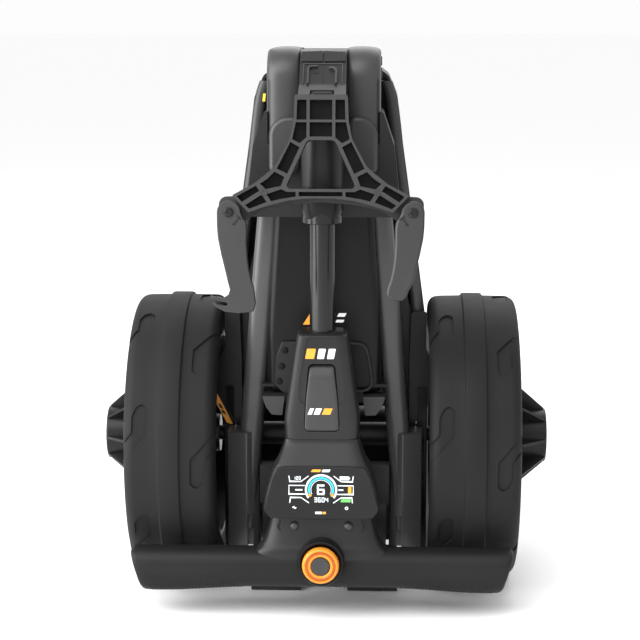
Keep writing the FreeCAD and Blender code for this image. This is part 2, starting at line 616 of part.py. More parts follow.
def stem():
    """The stem shell round the shaft's lower end, its back cover and the fold lever in its front."""
    front, back = value("stem_front"), value("stem_back")
    shell = plate("stem_shell", "XZ", [mirrored([(24, 304, 5), (26.5, 286, 40), (38.5, 206, 30), (37, 184)])],
                  "stem_front", "stem_back")
    soften(shell, 8, lambda m, e: m.y < front + 0.1 and m.z > 184.1)
    pocket(shell, "XZ", [mirrored([(17.2, 262, 4), (21, 196, 4)])], front - 1, front + value("lever_room"))
    pocket(shell, "XY", [("circle", 0, value("shaft_y"), "shaft_radius")], "shaft_bottom", 305)
    pocket(shell, "YZ", [("circle", value("lever_pin_y"), value("lever_pin_z"), "lever_bore")], -20.5, 20.5)
    plate("stem_cover", "XZ", [mirrored([(20, 300, 5), (34, 200, 5), (33, 188, 3)])], "stem_back",
          "stem_cover")
    lever = loose_plate("lever_flap", "XZ", [mirrored([(16.5, 260, 3), (16.8, 225, 20), (14, 198, 6)])],
                        front + 0.3, front + value("lever_depth"))
    soften(lever, 2, lambda m, e: m.y < front + 0.4 and m.z < 255)
    pin = rod("lever_pin", "X", "lever_pin", -20, 20, "lever_pin_y", "lever_pin_z")
    node(fused("fold_lever", [lever, pin]), "fold_lever")


def display():
    """The display housing under the stem, its screen, circuit board and two keys."""
    front, back = value("display_front"), value("display_back")
    shape = mirrored([(37, 184), (51, 162, 6), (59, 120, 8), (55, 104, 6), (44, 84, 8), (42, 72.5, 3)])
    housing = plate("display_housing", "XZ", [shape], "display_front", "display_back")
    pocket(housing, "YZ", [[(front - 1, 185), (front + 16.3, 185), (front, 161), (front, 104), (-160, 102),
                            (-160, 72), (front - 1, 72)]], -62, 62)
    pocket(housing, "XZ", [mirrored([(41, 156, 4), (49.5, 124, 5), (47, 113, 4)])], front - 1, front + 6)
    keys = [("circle", side * value("key_x"), value("key_z"), "key_bore") for _, side in SIDES]
    pocket(housing, "XZ", keys, -161, -152)
    plate("display_screen", "XZ", [mirrored([(41, 156, 4), (49.5, 124, 5), (47, 113, 4)])], front,
          front + value("screen_depth"))
    node(block("circuit_board", (-34, 34), (front + 3, front + 5), (116, 152)), "circuit_board")
    for word, side in SIDES:
        node(rod("key_" + word, "Y", "key_radius", -162, -154, side * value("key_x"), "key_z"), "key_" + word)


def handlebar():
    """The cross handle under the display, with its core bar, grips, dial housing, dial and cap."""
    y, z = value("grip_y"), value("grip_z")
    inner, outer = value("grip_inner"), value("grip_outer")
    section = [(y - 20, z + 22.3, 15), (y + 20, z + 22.3, 15), (y + 20, z - 22.3, 15), (y - 20, z - 22.3, 15)]
    core = ("circle", y, z, "core_radius")
    hub = loose_plate("hub_body", "YZ", [[(y - 20, z + 24, 8), (y + 22, z + 24, 8), (y + 22, z - 22.3, 12),
                                (y - 20, z - 22.3, 12)], core], -inner, "grip_inner")
    node(rod("grip_core", "X", "core_radius", -value("grip_outer") + 6, value("grip_outer") - 6, y, z),
         "grip_core")
    for word, side in SIDES:
        low, high = sorted((side * inner, side * outer))
        grip = plate("grip_" + word, "YZ", [section], low, high)
        soften(grip, 5, lambda m, e: abs(m.x - side * outer) < 0.1)
        low, high = sorted((side * inner, side * (outer - 6)))
        if side > 0:
            pocket(grip, "YZ", [core], low - 1, high)
        else:
            pocket(grip, "YZ", [core], low, high + 1)
    at = (0, "dial_z")
    housing = rod("dial_ring_outer", "Y", "dial_housing_radius", "dial_step", -161.2, *at)
    node(carved("handle_hub", fused("hub_cast", [hub, housing]), [
        rod("dial_well", "Y", 5.05, "dial_step", value("grip_y") - 17, *at)]), "handle_hub")
    outer_ring = rod("dial_disc", "Y", "dial_radius", "dial_front", value("dial_step") - 0.3, *at)
    spindle = rod("dial_spindle", "Y", 5, value("dial_step") - 0.3, value("dial_base") - 4, *at)
    dial = fused("dial_solid", [outer_ring, spindle])
    node(carved("speed_dial", dial, [
        rod("dial_hole", "Y", "dial_bore", value("dial_front") - 1, value("dial_front") + 5,
            *at)]), "speed_dial")
    node(rod("dial_cap", "Y", "dial_cap_radius", value("dial_front") - 0.5, value("dial_front") + 2.5, *at),
         "dial_cap")


# ---------------------------------------------------------------- front frame

def front_frame():
    """The hinge barrel and spine, the fork, the front axle, the shell and the lower bag support."""
    y, z = value("front_pin_y"), value("front_pin_z")
    half = value("knuckle_half")
    r = 13
    profile = [(y - r, z + r, r - 0.5), (y + r + 4, z + r, 10), (62, 520, 20), (62, 402), (46, 402),
               (46, 512, 20),
               (y - r, z - r - 4, 12)]
    plate("front_spine", "YZ", [profile, ("circle", y, z, "pin_bore")], -half, "knuckle_half")
    inner, outer = value("fork_inner"), value("fork_outer")
    axle_y, axle_z = value("front_wheel_y"), value("front_wheel_z")
    crown = block("fork_crown", (-outer, "fork_outer"), (46, 66), (394, 402))
    blades = []
    for word, side in SIDES:
        low, high = sorted((side * inner, side * outer))
        blade = doc.addObject("PartDesign::Body", "fork_blade_" + word)
        pad(blade, "YZ", [[(46, 402), (66, 402), (80, 350, 40), (axle_y + 12, axle_z + 8, 11),
                           (axle_y + 8, axle_z - 14, 10), (axle_y - 14, axle_z - 6, 10), (62, 340, 30)],
                          ("circle", axle_y, axle_z, "front_axle_radius")], low, high)
        blades.append(blade)
    node(fused("front_fork", [crown] + blades), "front_fork")
    node(rod("front_axle", "X", "front_axle_radius", -outer - 3, outer + 3, axle_y, axle_z), "front_axle")
    front, back, wall = value("shell_front"), value("shell_back"), value("shell_wall")
    low = value("shell_bottom")
    outside = [(59, 551), (66, 545.5, 8), (75.5, 523, 20), (82, 470, 60), (88.5, 424, 60), (107, 288, 30),
               (107, low)]
    inside = [(107 - wall, low), (107 - wall, 288, 30), (88.5 - wall, 424, 60), (82 - wall, 470, 60),
              (75.5 - wall, 521.5, 18), (64, 543, 6), (59, 548)]
    panels = []
    for word, side in SIDES:
        panels.append(loose_plate("shell_side_" + word, "XZ", [sided(outside + inside, side)], "shell_front",
                                  "shell_back"))
    wall_edge = list(reversed(inside)) + [(47, low, 4), (47, 404, 3)]
    sheet_back = loose_plate("shell_back_wall", "XZ", [mirrored(wall_edge)], back - wall, back)
    node(fused("front_shell", panels + [sheet_back]), "front_shell")
    support = [(-74, 430), (74, 430), (82, 452, 6), (70, 452, 6), (60, 438, 6), (-60, 438, 6), (-70, 452, 6),
               (-82, 452, 6)]
    plate("lower_bag_support", "XZ", [support], 65, 92)


plates = []
for word, side in SIDES:
    plates.append(side_frame(word, side))
    rear_wheel(word, side)
node(fused("side_plates", plates), "side_plates")
drive_parts()
gearbox()
lower_frame()
yoke()
battery()
front_wheel()
knuckle()
bag_bracket()
stem()
display()
handlebar()
front_frame()
doc.recompute()

for item in doc.Objects:
    if "Invalid" in item.State or "Error" in item.State:
        raise RuntimeError(item.Label + " failed: " + str(item.State))
os.makedirs("parts", exist_ok=True)
for item in NODES:
    shape = item.Shape
    if shape.isNull() or not shape.isValid() or not shape.Solids:
        raise RuntimeError(item.Label + " has no valid solid")
    shape.exportStep("parts/" + item.Label + ".step")
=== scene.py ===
import json
import math

import bmesh
import bpy
from mathutils import Matrix, Vector


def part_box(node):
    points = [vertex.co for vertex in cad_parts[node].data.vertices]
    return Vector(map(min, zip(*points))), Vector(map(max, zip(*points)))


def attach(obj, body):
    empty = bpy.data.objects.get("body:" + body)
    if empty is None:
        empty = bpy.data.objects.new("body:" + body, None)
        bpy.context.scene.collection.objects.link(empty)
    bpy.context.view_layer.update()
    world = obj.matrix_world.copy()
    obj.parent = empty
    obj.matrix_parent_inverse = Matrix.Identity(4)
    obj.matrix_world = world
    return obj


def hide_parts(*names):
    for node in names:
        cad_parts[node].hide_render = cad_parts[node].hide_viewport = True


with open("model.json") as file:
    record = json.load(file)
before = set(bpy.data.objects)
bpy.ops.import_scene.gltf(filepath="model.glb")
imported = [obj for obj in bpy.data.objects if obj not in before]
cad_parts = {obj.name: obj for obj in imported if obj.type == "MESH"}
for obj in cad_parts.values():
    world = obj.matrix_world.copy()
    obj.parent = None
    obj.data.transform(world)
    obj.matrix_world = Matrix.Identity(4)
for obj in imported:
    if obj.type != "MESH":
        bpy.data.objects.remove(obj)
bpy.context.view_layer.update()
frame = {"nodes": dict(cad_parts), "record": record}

# An electric golf trolley, folded and standing on end. Metres, in the CAD model's own frame.

EDGE_WIDTH = 0.0006      # the small bevel on every CAD node
SIDES = (("left", -1), ("right", 1))

# ---------------------------------------------------------------- camera

FILM_WIDTH = 36
LENS = 103.5
DISTANCE = 2.0
AZIMUTH = math.radians(2)
ELEVATION = math.radians(10)
TARGET = Vector((-0.007, 0, 0.281))


def add_camera():
    """The camera at the photograph's angle, a little above and to the right of the middle."""
    data = bpy.data.cameras.new("camera")
    data.sensor_width = FILM_WIDTH
    data.lens = LENS
    data.clip_end = 30
    camera = bpy.data.objects.new("camera", data)
    bpy.context.scene.collection.objects.link(camera)
    away = Vector((math.sin(AZIMUTH) * math.cos(ELEVATION), -math.cos(AZIMUTH) * math.cos(ELEVATION),
        math.sin(ELEVATION)))
    camera.location = TARGET + away * DISTANCE
    camera.rotation_euler = (-away).to_track_quat("-Z", "Y").to_euler()
    bpy.context.scene.camera = camera


# ---------------------------------------------------------------- materials

# where a colour ramp starts and ends on the noise, which seldom leaves this range
RAMP_START, RAMP_END = 0.3, 0.7


class Shader:
    """A node tree with short calls for the nodes that the materials share."""

    def __init__(self, name):
        self.material = bpy.data.materials.new(name)
        self.material.use_nodes = True
        self.tree = self.material.node_tree
        self.surface = self.tree.nodes["Principled BSDF"]

    def add(self, kind, **settings):
        made = self.tree.nodes.new("ShaderNode" + kind)
        for name, setting in settings.items():
            setattr(made, name, setting)
        return made

    def link(self, start, end):
        self.tree.links.new(start, end)

    def noise(self, scale, detail=4.0, stretch=(1, 1, 1)):
        """Noise in the object's own coordinates."""
        spots = self.add("TexCoord")
        mapping = self.add("Mapping")
        mapping.inputs["Scale"].default_value = stretch
        made = self.add("TexNoise")
        made.inputs["Scale"].default_value = scale
        made.inputs["Detail"].default_value = detail
        self.link(spots.outputs["Object"], mapping.inputs["Vector"])
        self.link(mapping.outputs["Vector"], made.inputs["Vector"])
        return made.outputs["Fac"]

    def ramp(self, fac, low, high):
        """A colour that runs from low to high."""
        made = self.add("ValToRGB")
        made.color_ramp.elements[0].position = RAMP_START
        made.color_ramp.elements[0].color = (*low, 1)
        made.color_ramp.elements[1].position = RAMP_END
        made.color_ramp.elements[1].color = (*high, 1)
        self.link(fac, made.inputs["Fac"])
        return made.outputs["Color"]

    def scaled(self, fac, low, high):
        """A number that runs from low to high."""
        made = self.add("MapRange")
        made.inputs["To Min"].default_value = low
        made.inputs["To Max"].default_value = high
        self.link(fac, made.inputs["Value"])
        return made.outputs["Result"]

    def bump(self, fac, strength, distance):
        """Relief on the surface, added to what is already there."""
        made = self.add("Bump")
        made.inputs["Strength"].default_value = strength
        made.inputs["Distance"].default_value = distance
        self.link(fac, made.inputs["Height"])
        before = self.surface.inputs["Normal"]
        if before.is_linked:
            self.link(before.links[0].from_socket, made.inputs["Normal"])
        self.link(made.outputs["Normal"], before)


def grey(level):
    return (level, level, level)


def moulded(name, level, rough, grain=900.0, relief=0.12, shine=0.4):
    """Moulded plastic or rubber: fine spark grain, slow tone change."""
    shader = Shader(name)
    slow = shader.noise(9.0, 3.0)
    shader.link(shader.ramp(slow, grey(level * 0.86), grey(level * 1.14)),
        shader.surface.inputs["Base Color"])
    patch = shader.noise(40.0, 5.0)
    shader.link(shader.scaled(patch, rough - 0.06, rough + 0.06), shader.surface.inputs["Roughness"])
    shader.bump(shader.noise(grain, 2.0), relief, 0.00025)
    shader.surface.inputs["Specular IOR Level"].default_value = shine
    return shader.material


def metal(name, level, rough, stretch=(1, 1, 1)):
    """Machined or cast metal with a directional grain."""
    shader = Shader(name)
    lines = shader.noise(260.0, 4.0, stretch)
    shader.link(shader.ramp(lines, grey(level * 0.85), grey(level * 1.1)),
        shader.surface.inputs["Base Color"])
    shader.link(shader.scaled(lines, rough - 0.08, rough + 0.1), shader.surface.inputs["Roughness"])
    shader.bump(lines, 0.08, 0.0002)
    shader.surface.inputs["Metallic"].default_value = 1.0
    return shader.material


def coloured(name, colour, rough, glow=0.0):
    """A coloured plastic, a painted shade of one, or a lit mark on the display."""
    shader = Shader(name)
    dark = tuple(c * 0.9 for c in colour)
    shader.link(shader.ramp(shader.noise(60.0), dark, colour), shader.surface.inputs["Base Color"])
    shader.surface.inputs["Roughness"].default_value = rough
    shader.bump(shader.noise(700.0), 0.05, 0.0002)
    if glow:
        shader.surface.inputs["Emission Color"].default_value = (*colour, 1)
        shader.surface.inputs["Emission Strength"].default_value = glow
    return shader.material


MATERIALS = {
    "shell_plastic": moulded("satin black plastic", 0.012, 0.4, shine=0.28),
    "frame_paint": moulded("powder coated tube", 0.05, 0.36, grain=1400.0, relief=0.03, shine=0.5),
    "dome_plastic": moulded("charcoal plastic", 0.03, 0.38, shine=0.42),
    "bracket_plastic": moulded("glass filled nylon", 0.026, 0.46, grain=700.0, relief=0.2, shine=0.4),
    "tyre_rubber": moulded("tyre foam rubber", 0.011, 0.6, grain=500.0, relief=0.25, shine=0.15),
    "grip_rubber": moulded("grip rubber", 0.01, 0.5, grain=620.0, relief=0.3, shine=0.18),
    "rim_plastic": moulded("rim plastic", 0.008, 0.36, shine=0.25),
    "foot_rubber": moulded("foot rubber", 0.014, 0.3, shine=0.45),
    "steel": metal("bright steel", 0.5, 0.3, (1, 8, 8)),
    "case_alloy": metal("cast case", 0.045, 0.5),
    "battery_plastic": moulded("battery case plastic", 0.007, 0.3, shine=0.16),
    "screen_glass": moulded("display glass", 0.012, 0.2, grain=80.0, relief=0.01, shine=0.16),
    # a lighter grey copy of the black shell plastic for the sockets: painted sheen
    "socket painted sheen": moulded("socket painted sheen", 0.06, 0.34, relief=0.05, shine=0.6),
    "gloss tube": moulded("gloss tube", 0.007, 0.2, relief=0.02, shine=0.36),
    "orange_plastic": coloured("orange plastic", (0.78, 0.25, 0.015), 0.38),
    # a darker copy of the orange plastic, painted as the shade in the dial's groove
    "orange groove painted shade": coloured("orange groove painted shade", (0.42, 0.07, 0.003), 0.5),
    "board": coloured("circuit board", (0.01, 0.09, 0.04), 0.4),
    "dark gap": moulded("dark gap", 0.004, 0.6),
    "dark steel": metal("black zinc steel", 0.035, 0.38, (1, 6, 6)),
    "orange mark": coloured("orange print", (0.9, 0.36, 0.03), 0.45),
    "white mark": coloured("white print", (0.82, 0.83, 0.84), 0.45),
    "yellow mark": coloured("yellow print", (0.85, 0.62, 0.05), 0.45),
    "lit white": coloured("lit white", (0.7, 0.76, 0.78), 0.4, 0.35),
    "lit cyan": coloured("lit cyan", (0.03, 0.42, 0.58), 0.4, 0.35),
    "lit amber": coloured("lit amber", (0.8, 0.33, 0.02), 0.4, 0.3),
    "lit green": coloured("lit green", (0.12, 0.48, 0.1), 0.4, 0.3),
}
SLOT_OF = {row["node"]: row["material_slot"] for row in frame["record"]["subparts"]}


def dress(item, slot_name):
    """Give every material slot of an object the finish of one record slot."""
    if not item.material_slots:
        item.data.materials.append(MATERIALS[slot_name])
    for holder in item.material_slots:
        holder.material = MATERIALS[slot_name]


def bevelled(item, width, degrees):
    """A small rounding on the edges that are sharper than an angle."""
    edge = item.modifiers.new("edge", "BEVEL")
    edge.width = width
    edge.segments = 2
    edge.limit_method = "ANGLE"
    edge.angle_limit = math.radians(degrees)


# finishes that differ from the slot's own
LOOKS = {"side_plates": "battery_plastic", "shaft_tube": "gloss tube", "drive_axle": "dark steel"}
for node_name, item in frame["nodes"].items():
    dress(item, LOOKS.get(node_name, SLOT_OF[node_name]))
    bevelled(item, EDGE_WIDTH, 40)


# ---------------------------------------------------------------- mesh helpers

def piece(name, mesh, body, slot_name, look=None, smooth=30, bevel=0.0, stands_for=()):
    """A finished piece that rides on a CAD body. look is a finish other than the slot's own, or a painted
    shade or sheen.
    """
    made = bpy.data.objects.new(name, mesh)
    bpy.context.scene.collection.objects.link(made)
    made.data.materials.append(MATERIALS[look or slot_name])
    mesh.polygons.foreach_set("use_smooth", [True] * len(mesh.polygons))
    mesh.set_sharp_from_angle(angle=math.radians(smooth))
    if bevel:
        bevelled(made, bevel, 35)
    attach(made, body)
    if stands_for:
        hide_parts(*stands_for)


def mm(table):
    """A table written in millimetres, in metres."""
    return [mm(row) if isinstance(row, (list, tuple)) else row / 1000 for row in table]


def lathe(profile, y, z, steps):
    """A closed (x, radius) profile turned about a line along X through (y, z)."""
    form = bmesh.new()
    rings = []
    for step in range(steps):
        turn = 2 * math.pi * step / steps
        rings.append([form.verts.new((x, y - r * math.cos(turn), z + r * math.sin(turn)))
            for x, r in profile])
    for step in range(steps):
        here, following = rings[step], rings[(step + 1) % steps]
        for i in range(len(profile)):
            j = (i + 1) % len(profile)
            form.faces.new((here[i], here[j], following[j], following[i]))
    bmesh.ops.recalc_face_normals(form, faces=form.faces)
    return form


def to_mesh(form, name):
    """Turn a bmesh into a mesh and free it."""
    bmesh.ops.recalc_face_normals(form, faces=form.faces)
    mesh = bpy.data.meshes.new(name)
    form.to_mesh(mesh)
    form.free()
    return mesh


def prism(points, place, depth):
    """A solid on an outline: place(u, v, w) says where a point of the outline lies at height w."""
    form = bmesh.new()
    low = [form.verts.new(place(u, v, 0.0)) for u, v in points]
    high = [form.verts.new(place(u, v, depth)) for u, v in points]
    form.faces.new(low)
    form.faces.new(list(reversed(high)))
    for i in range(len(points)):
        j = (i + 1) % len(points)
        form.faces.new((low[i], low[j], high[j], high[i]))
    return form


def joined(forms):
    """Several bmeshes as one."""
    whole = bmesh.new()
    for form in forms:
        mesh = to_mesh(form, "part")
        whole.from_mesh(mesh)
        bpy.data.meshes.remove(mesh)
    return whole


def carve(mesh, cutter_mesh):
    """The first mesh with the second cut out of it."""
    base = bpy.data.objects.new("base", mesh)
    tool = bpy.data.objects.new("tool", cutter_mesh)
    for made in (base, tool):
        bpy.context.scene.collection.objects.link(made)
    cut = base.modifiers.new("cut", "BOOLEAN")
    cut.operation = "DIFFERENCE"
    cut.solver = "EXACT"
    cut.object = tool
    graph = bpy.context.evaluated_depsgraph_get()
    result = bpy.data.meshes.new_from_object(base.evaluated_get(graph))
    for made in (base, tool):
        bpy.data.objects.remove(made)
    result.materials.clear()
    return result


def rounded(points, radius, steps=5):
    """An outline with each corner rounded."""
    result = []
    for i, here in enumerate(points):
        before, at = Vector(points[i - 1]), Vector(here)
        after = Vector(points[(i + 1) % len(points)])
        way_in, way_out = (before - at).normalized(), (after - at).normalized()
        half = way_in.angle(way_out) / 2
        run = min(radius / math.tan(half), (before - at).length * 0.45, (after - at).length * 0.45)
        bend = run * math.tan(half)
        centre = at + (way_in + way_out).normalized() * (bend / math.sin(half))
        start, end = at + way_in * run - centre, at + way_out * run - centre
        for step in range(steps + 1):
            spot = start.lerp(end, step / steps)
            spot = centre + spot.normalized() * bend
            result.append((spot.x, spot.y))
    return result


def slab(outline, front, back, corner=0.0):
    """A flat solid: an (x, z) outline between two levels of y."""
    points = rounded(outline, corner) if corner else outline
    return prism(points, lambda u, v, w: (u, front + w, v), back - front)


def strip(points, width):
    """The outline of a narrow band along a polyline of (x, z) points."""
    sides = ([], [])
    for i, here in enumerate(points):
        start = Vector(points[max(i - 1, 0)])
        end = Vector(points[min(i + 1, len(points) - 1)])
        along = (end - start).normalized()
        across = Vector((-along.y, along.x)) * width / 2
        if 0 < i < len(points) - 1:
            one = (Vector(here) - start).normalized()
            across = across / max(0.5, one.dot(along))
        sides[0].append(tuple(Vector(here) + across))
        sides[1].append(tuple(Vector(here) - across))
    return sides[0] + sides[1][::-1]


def arc(x, z, radius, start, end, steps=24):
    """Points along an arc in the (x, z) plane, angles in degrees."""
    turns = [math.radians(start + (end - start) * i / steps) for i in range(steps + 1)]
    return [(x + radius * math.cos(turn), z + radius * math.sin(turn)) for turn in turns]


def band(x, z, inner, outer, start, end, steps=32):
    """The outline of a bent band between two arcs."""
    return arc(x, z, outer, start, end, steps) + arc(x, z, inner, end, start, steps)


def oval(centre, across, upward, power=2.0, steps=48):
    """A closed ring round a centre: a circle at power 2, squarer as power grows."""
    ring = []
    for step in range(steps):
        turn = 2 * math.pi * (step + 0.5) / steps
        c, s = math.cos(turn), math.sin(turn)
        u = math.copysign(abs(c) ** (2 / power), c)
        v = math.copysign(abs(s) ** (2 / power), s)
        ring.append(Vector(centre) + Vector(across) * u + Vector(upward) * v)
    return ring


def loft(rings):
    """A closed solid through a row of rings with equal numbers of points."""
    form = bmesh.new()
    rows = [[form.verts.new(spot) for spot in ring] for ring in rings]
    for here, following in zip(rows, rows[1:]):
        for i in range(len(here)):
            j = (i + 1) % len(here)
            form.faces.new((here[i], here[j], following[j], following[i]))
    form.faces.new(rows[0])
    form.faces.new(list(reversed(rows[-1])))
    return form


def smoothed(stations, steps=5):
    """More stations between the given ones, along a smooth curve through them."""
    result = []
    for i in range(len(stations) - 1):
        p0, p1 = stations[max(i - 1, 0)], stations[i]
        p2, p3 = stations[i + 1], stations[min(i + 2, len(stations) - 1)]
        for step in range(steps):
            t = step / steps
            row = []
            for a, b, c, d in zip(p0, p1, p2, p3):
                row.append(0.5 * (2 * b + (c - a) * t + (2 * a - 5 * b + 4 * c - d) * t * t
                    + (3 * b - a - 3 * c + d) * t ** 3))
            result.append(tuple(row))
    result.append(stations[-1])
    return result


def frame_at(centre, normal):
    """A placement whose local z looks along normal."""
    w = Vector(normal).normalized()
    u = Vector((0, 0, 1)).cross(w).normalized()
    v = w.cross(u)
    turn = Matrix((u, v, w)).transposed().to_4x4()
    return Matrix.Translation(centre) @ turn


def hex_bolt(radius, height, washer=1.35):
    """A hexagon head with chamfered corners on a washer, looking along local z from 0."""
    steps = 24
    rings = []
    for size, level, sides in ((washer, 0.0, 24), (washer, 0.18, 24), (1.02, 0.22, 6), (1.0, 0.85, 6),
            (0.84, 1.0, 6), (0.3, 1.0, 6), (0.25, 0.9, 6)):
        ring = []
        for step in range(steps):
            turn = 2 * math.pi * step / steps
            reach = size * radius
            if sides == 6:
                reach *= math.cos(math.pi / 6) / math.cos((turn % (math.pi / 3)) - math.pi / 6)
            ring.append((reach * math.cos(turn), reach * math.sin(turn), level * height))
        rings.append(ring)
    return loft(rings)


def cap_screw(radius, height):
    """A round head with a cross recess, looking along local z from 0."""
    steps = 32
    rings = []
    for size, level, recessed in ((1.0, 0.0, False), (1.0, 0.45, False), (0.86, 0.82, False),
            (0.62, 1.0, False), (0.34, 1.0, True), (0.26, 0.55, True)):
        ring = []
        for step in range(steps):
            turn = 2 * math.pi * step / steps
            reach = size * radius
            if recessed:
                reach *= 1.5 if step % 8 in (0, 1, 7) else 0.72
            ring.append((reach * math.cos(turn), reach * math.sin(turn), level * height))
        rings.append(ring)
    return loft(rings)


def upright(origin, rows, power, steps=96):
    """A squared solid that stands on the model's middle plane.

    origin is (z, front, back), and each row is (z, half width, front, back), counted from it.
    """
    base, front, back = origin
    rings = []
    for z, wide, near, far in rows:
        start, end = front + near, back + far
        rings.append(oval((0, (start + end) / 2, base + z), (wide, 0, 0), (0, (end - start) / 2, 0), power,
            steps))
    return loft(rings)


def turned(place, rows, steps=48):
    """A round solid about a line along Y: rows of (radius, how far behind place)."""
    x, y, z = place
    return loft([oval((x, y + back, z), (r, 0, 0), (0, 0, r), steps=steps) for r, back in rows])


def rect(x0, z0, x1, z1, slant=0.0):
    """The outline of a rectangle between two corners, with its second edge moved sideways by slant."""
    return [(x0, z0), (x1, z0), (x1 + slant, z1), (x0 + slant, z1)]


def mirrored(half):
    """An outline from its one half. Points on the middle line aren't doubled."""
    return half + [(-x, z) for x, z in reversed(half) if x]


def shifted(outline, level):
    return [(x, z + level) for x, z in outline]


def radial(turn):
    """The directions outward and along, at a turn about a line along X."""
    c, s = math.cos(turn), math.sin(turn)
    return Vector((0, c, s)), Vector((0, -s, c))


def moved(form, matrix):
    """The bmesh, carried by a placement."""
    bmesh.ops.transform(form, matrix=matrix, verts=form.verts)
    return form


def screw(place, normal, radius, height):
    return moved(cap_screw(radius, height), frame_at(place, normal))


def add(name, forms, body, slot_name, look=None, **finish):
    """One piece from one or several bmeshes."""
    forms = forms if isinstance(forms, list) else [forms]
    piece(name, to_mesh(joined(forms), name), body, slot_name, look, **finish)


# ---------------------------------------------------------------- rear tyres

# one groove: how far in from the tyre's side, and how far round the tread
BAND = mm([(-4, -35.5), (25, -1), (25, 25), (19.5, 30), (13.5, 26), (9.3, 17), (9.3, 0.5), (-4, -16.5)])
BAND_DEPTH = 0.0019
CUTTER_TALL = 0.004      # how far a cutter stands out of the tread
BANDS_ROUND = 8
PHASES = (math.radians(13), math.radians(2))    # where the grooves start, on the left side and the right
TREAD_DROP = 0.003       # the tread's depth under the raised rib
SHOULDER = 0.011         # how far in the rounded shoulder reaches
SHOULDER_TALL = 0.0108
SHOULDER_DROP = 0.014    # the shoulder's lower end under the rib


def tyre_profile(low, high, crown):
    """The closed section of a rear tyre between two sides: (x, radius)."""
    middle = (low + high) / 2
    half = (high - low) / 2
    one_side = mm([(43, -43), (45.5, -37)]) + [(half, -0.029), (half, -0.017)]
    for step in range(9):
        turn = math.pi / 2 * step / 8
        one_side.append((half - SHOULDER + SHOULDER * math.cos(turn),
            SHOULDER_TALL * math.sin(turn) - SHOULDER_DROP))
    one_side += mm([(24, -3), (13.2, -2.8), (11.8, -2.4), (10.4, -0.4), (8.8, 0)])
    right = [(middle + x, crown + r) for x, r in one_side]
    left = [(middle - x, crown + r) for x, r in reversed(one_side)]
    return right + left


def tread_radius(inward, crown):
    """The tread's radius at a distance in from the tyre's side."""
    if inward < SHOULDER:
        reach = min(1.0, 1 - max(inward, 0.0) / SHOULDER)
        return crown - SHOULDER_DROP + SHOULDER_TALL * math.sqrt(1 - reach * reach)
    return crown - SHOULDER_DROP + SHOULDER_TALL


def band_cutter(edge, direction, phase, y, z, crown):
    """A shallow bent groove from a tyre's side, wrapped round its tread."""
    flat = bmesh.new()
    outline = rounded([(u, direction * v) for u, v in BAND], 0.0035, 4)
    flat.faces.new([flat.verts.new((u, v, 0)) for u, v in outline])
    cuts = [((0, cut * 0.004, 0), (0, 1, 0)) for cut in range(-8, 9)]
    cuts += [((0.0005 + cut * 0.002, 0, 0), (1, 0, 0)) for cut in range(7)]
    for spot, normal in cuts:
        bmesh.ops.bisect_plane(flat, geom=flat.verts[:] + flat.edges[:] + flat.faces[:], plane_co=spot,
            plane_no=normal, dist=1e-7)
    bmesh.ops.triangulate(flat, faces=flat.faces)
    rise = bmesh.ops.extrude_face_region(flat, geom=flat.faces[:])
    top = {v for v in rise["geom"] if isinstance(v, bmesh.types.BMVert)}
    for vert in flat.verts:
        inward, along = vert.co.x, vert.co.y
        radius = tread_radius(inward, crown) + (CUTTER_TALL if vert in top else -BAND_DEPTH)
        turn = phase + along / (crown - TREAD_DROP)
        vert.co = (edge + direction * inward, y - radius * math.cos(turn), z + radius * math.sin(turn))
    return flat


def add_tyre(word):
    """A rear tyre with a raised centre rib and bent grooves from both sides."""
    low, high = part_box("tyre_" + word)
    y, z = (low.y + high.y) / 2, (low.z + high.z) / 2
    crown = (high.y - low.y) / 2
    body = to_mesh(lathe(tyre_profile(low.x, high.x, crown), y, z, 240), "tyre")
    cutters = []
    for step in range(BANDS_ROUND):
        turn = 2 * math.pi * step / BANDS_ROUND
        for edge, side, phase in ((low.x, 1, PHASES[0]), (high.x, -1, PHASES[1])):
            cutters.append(band_cutter(edge, side, phase + turn, y, z, crown))
    grooved = carve(body, to_mesh(joined(cutters), "grooves"))
    piece("tyre_skin_" + word, grooved, "wheel_" + word, "tyre_rubber", smooth=32, bevel=0.0005,
        stands_for=("tyre_" + word,))


# ---------------------------------------------------------------- cross handle and dial

HUB_LOW, HUB_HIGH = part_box("handle_hub")
GRIP_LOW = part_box("grip_left")[0]
GRIP_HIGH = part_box("grip_right")[1]
BAR_Y = (GRIP_LOW.y + GRIP_HIGH.y) / 2
BAR_Z = (GRIP_LOW.z + GRIP_HIGH.z) / 2
BAR_DEEP = (GRIP_HIGH.y - GRIP_LOW.y) / 2
BAR_TALL = (GRIP_HIGH.z - GRIP_LOW.z) / 2
BAR_POWER = 2.7          # the squareness of its section
STUD_PITCH = 0.0037
STUD_RADIUS = 0.00135
KNURL = 0.0003           # how far the dial's knurls stand out


def bar_section(x):
    """The middle height and half height of the bar's section, which is slimmer near the neck."""
    reach = min(1.0, max(0.0, (abs(x) - 0.065) / 0.105))
    raised = 0.0047 * (1 - reach * reach * (3 - 2 * reach))
    return BAR_Z + raised / 2, BAR_TALL - raised / 2


def bar_lean(x):
    """How far the bar's section leans outward at its top, towards the slanted ends."""
    reach = max(0.0, abs(x) / GRIP_HIGH.x - 0.6) / 0.4
    return math.copysign(0.3 * reach, x)


def bar_point(x, turn, lift=0.0):
    """A point on the bar's skin: turn 0 faces the front, positive turns upward."""
    c, s = math.cos(turn), math.sin(turn)
    u = math.copysign(abs(c) ** (2 / BAR_POWER), c) * (BAR_DEEP + lift)
    middle, tall = bar_section(x)
    v = math.copysign(abs(s) ** (2 / BAR_POWER), s) * (tall + lift)
    return Vector((x + bar_lean(x) * v, BAR_Y - u, middle + v))


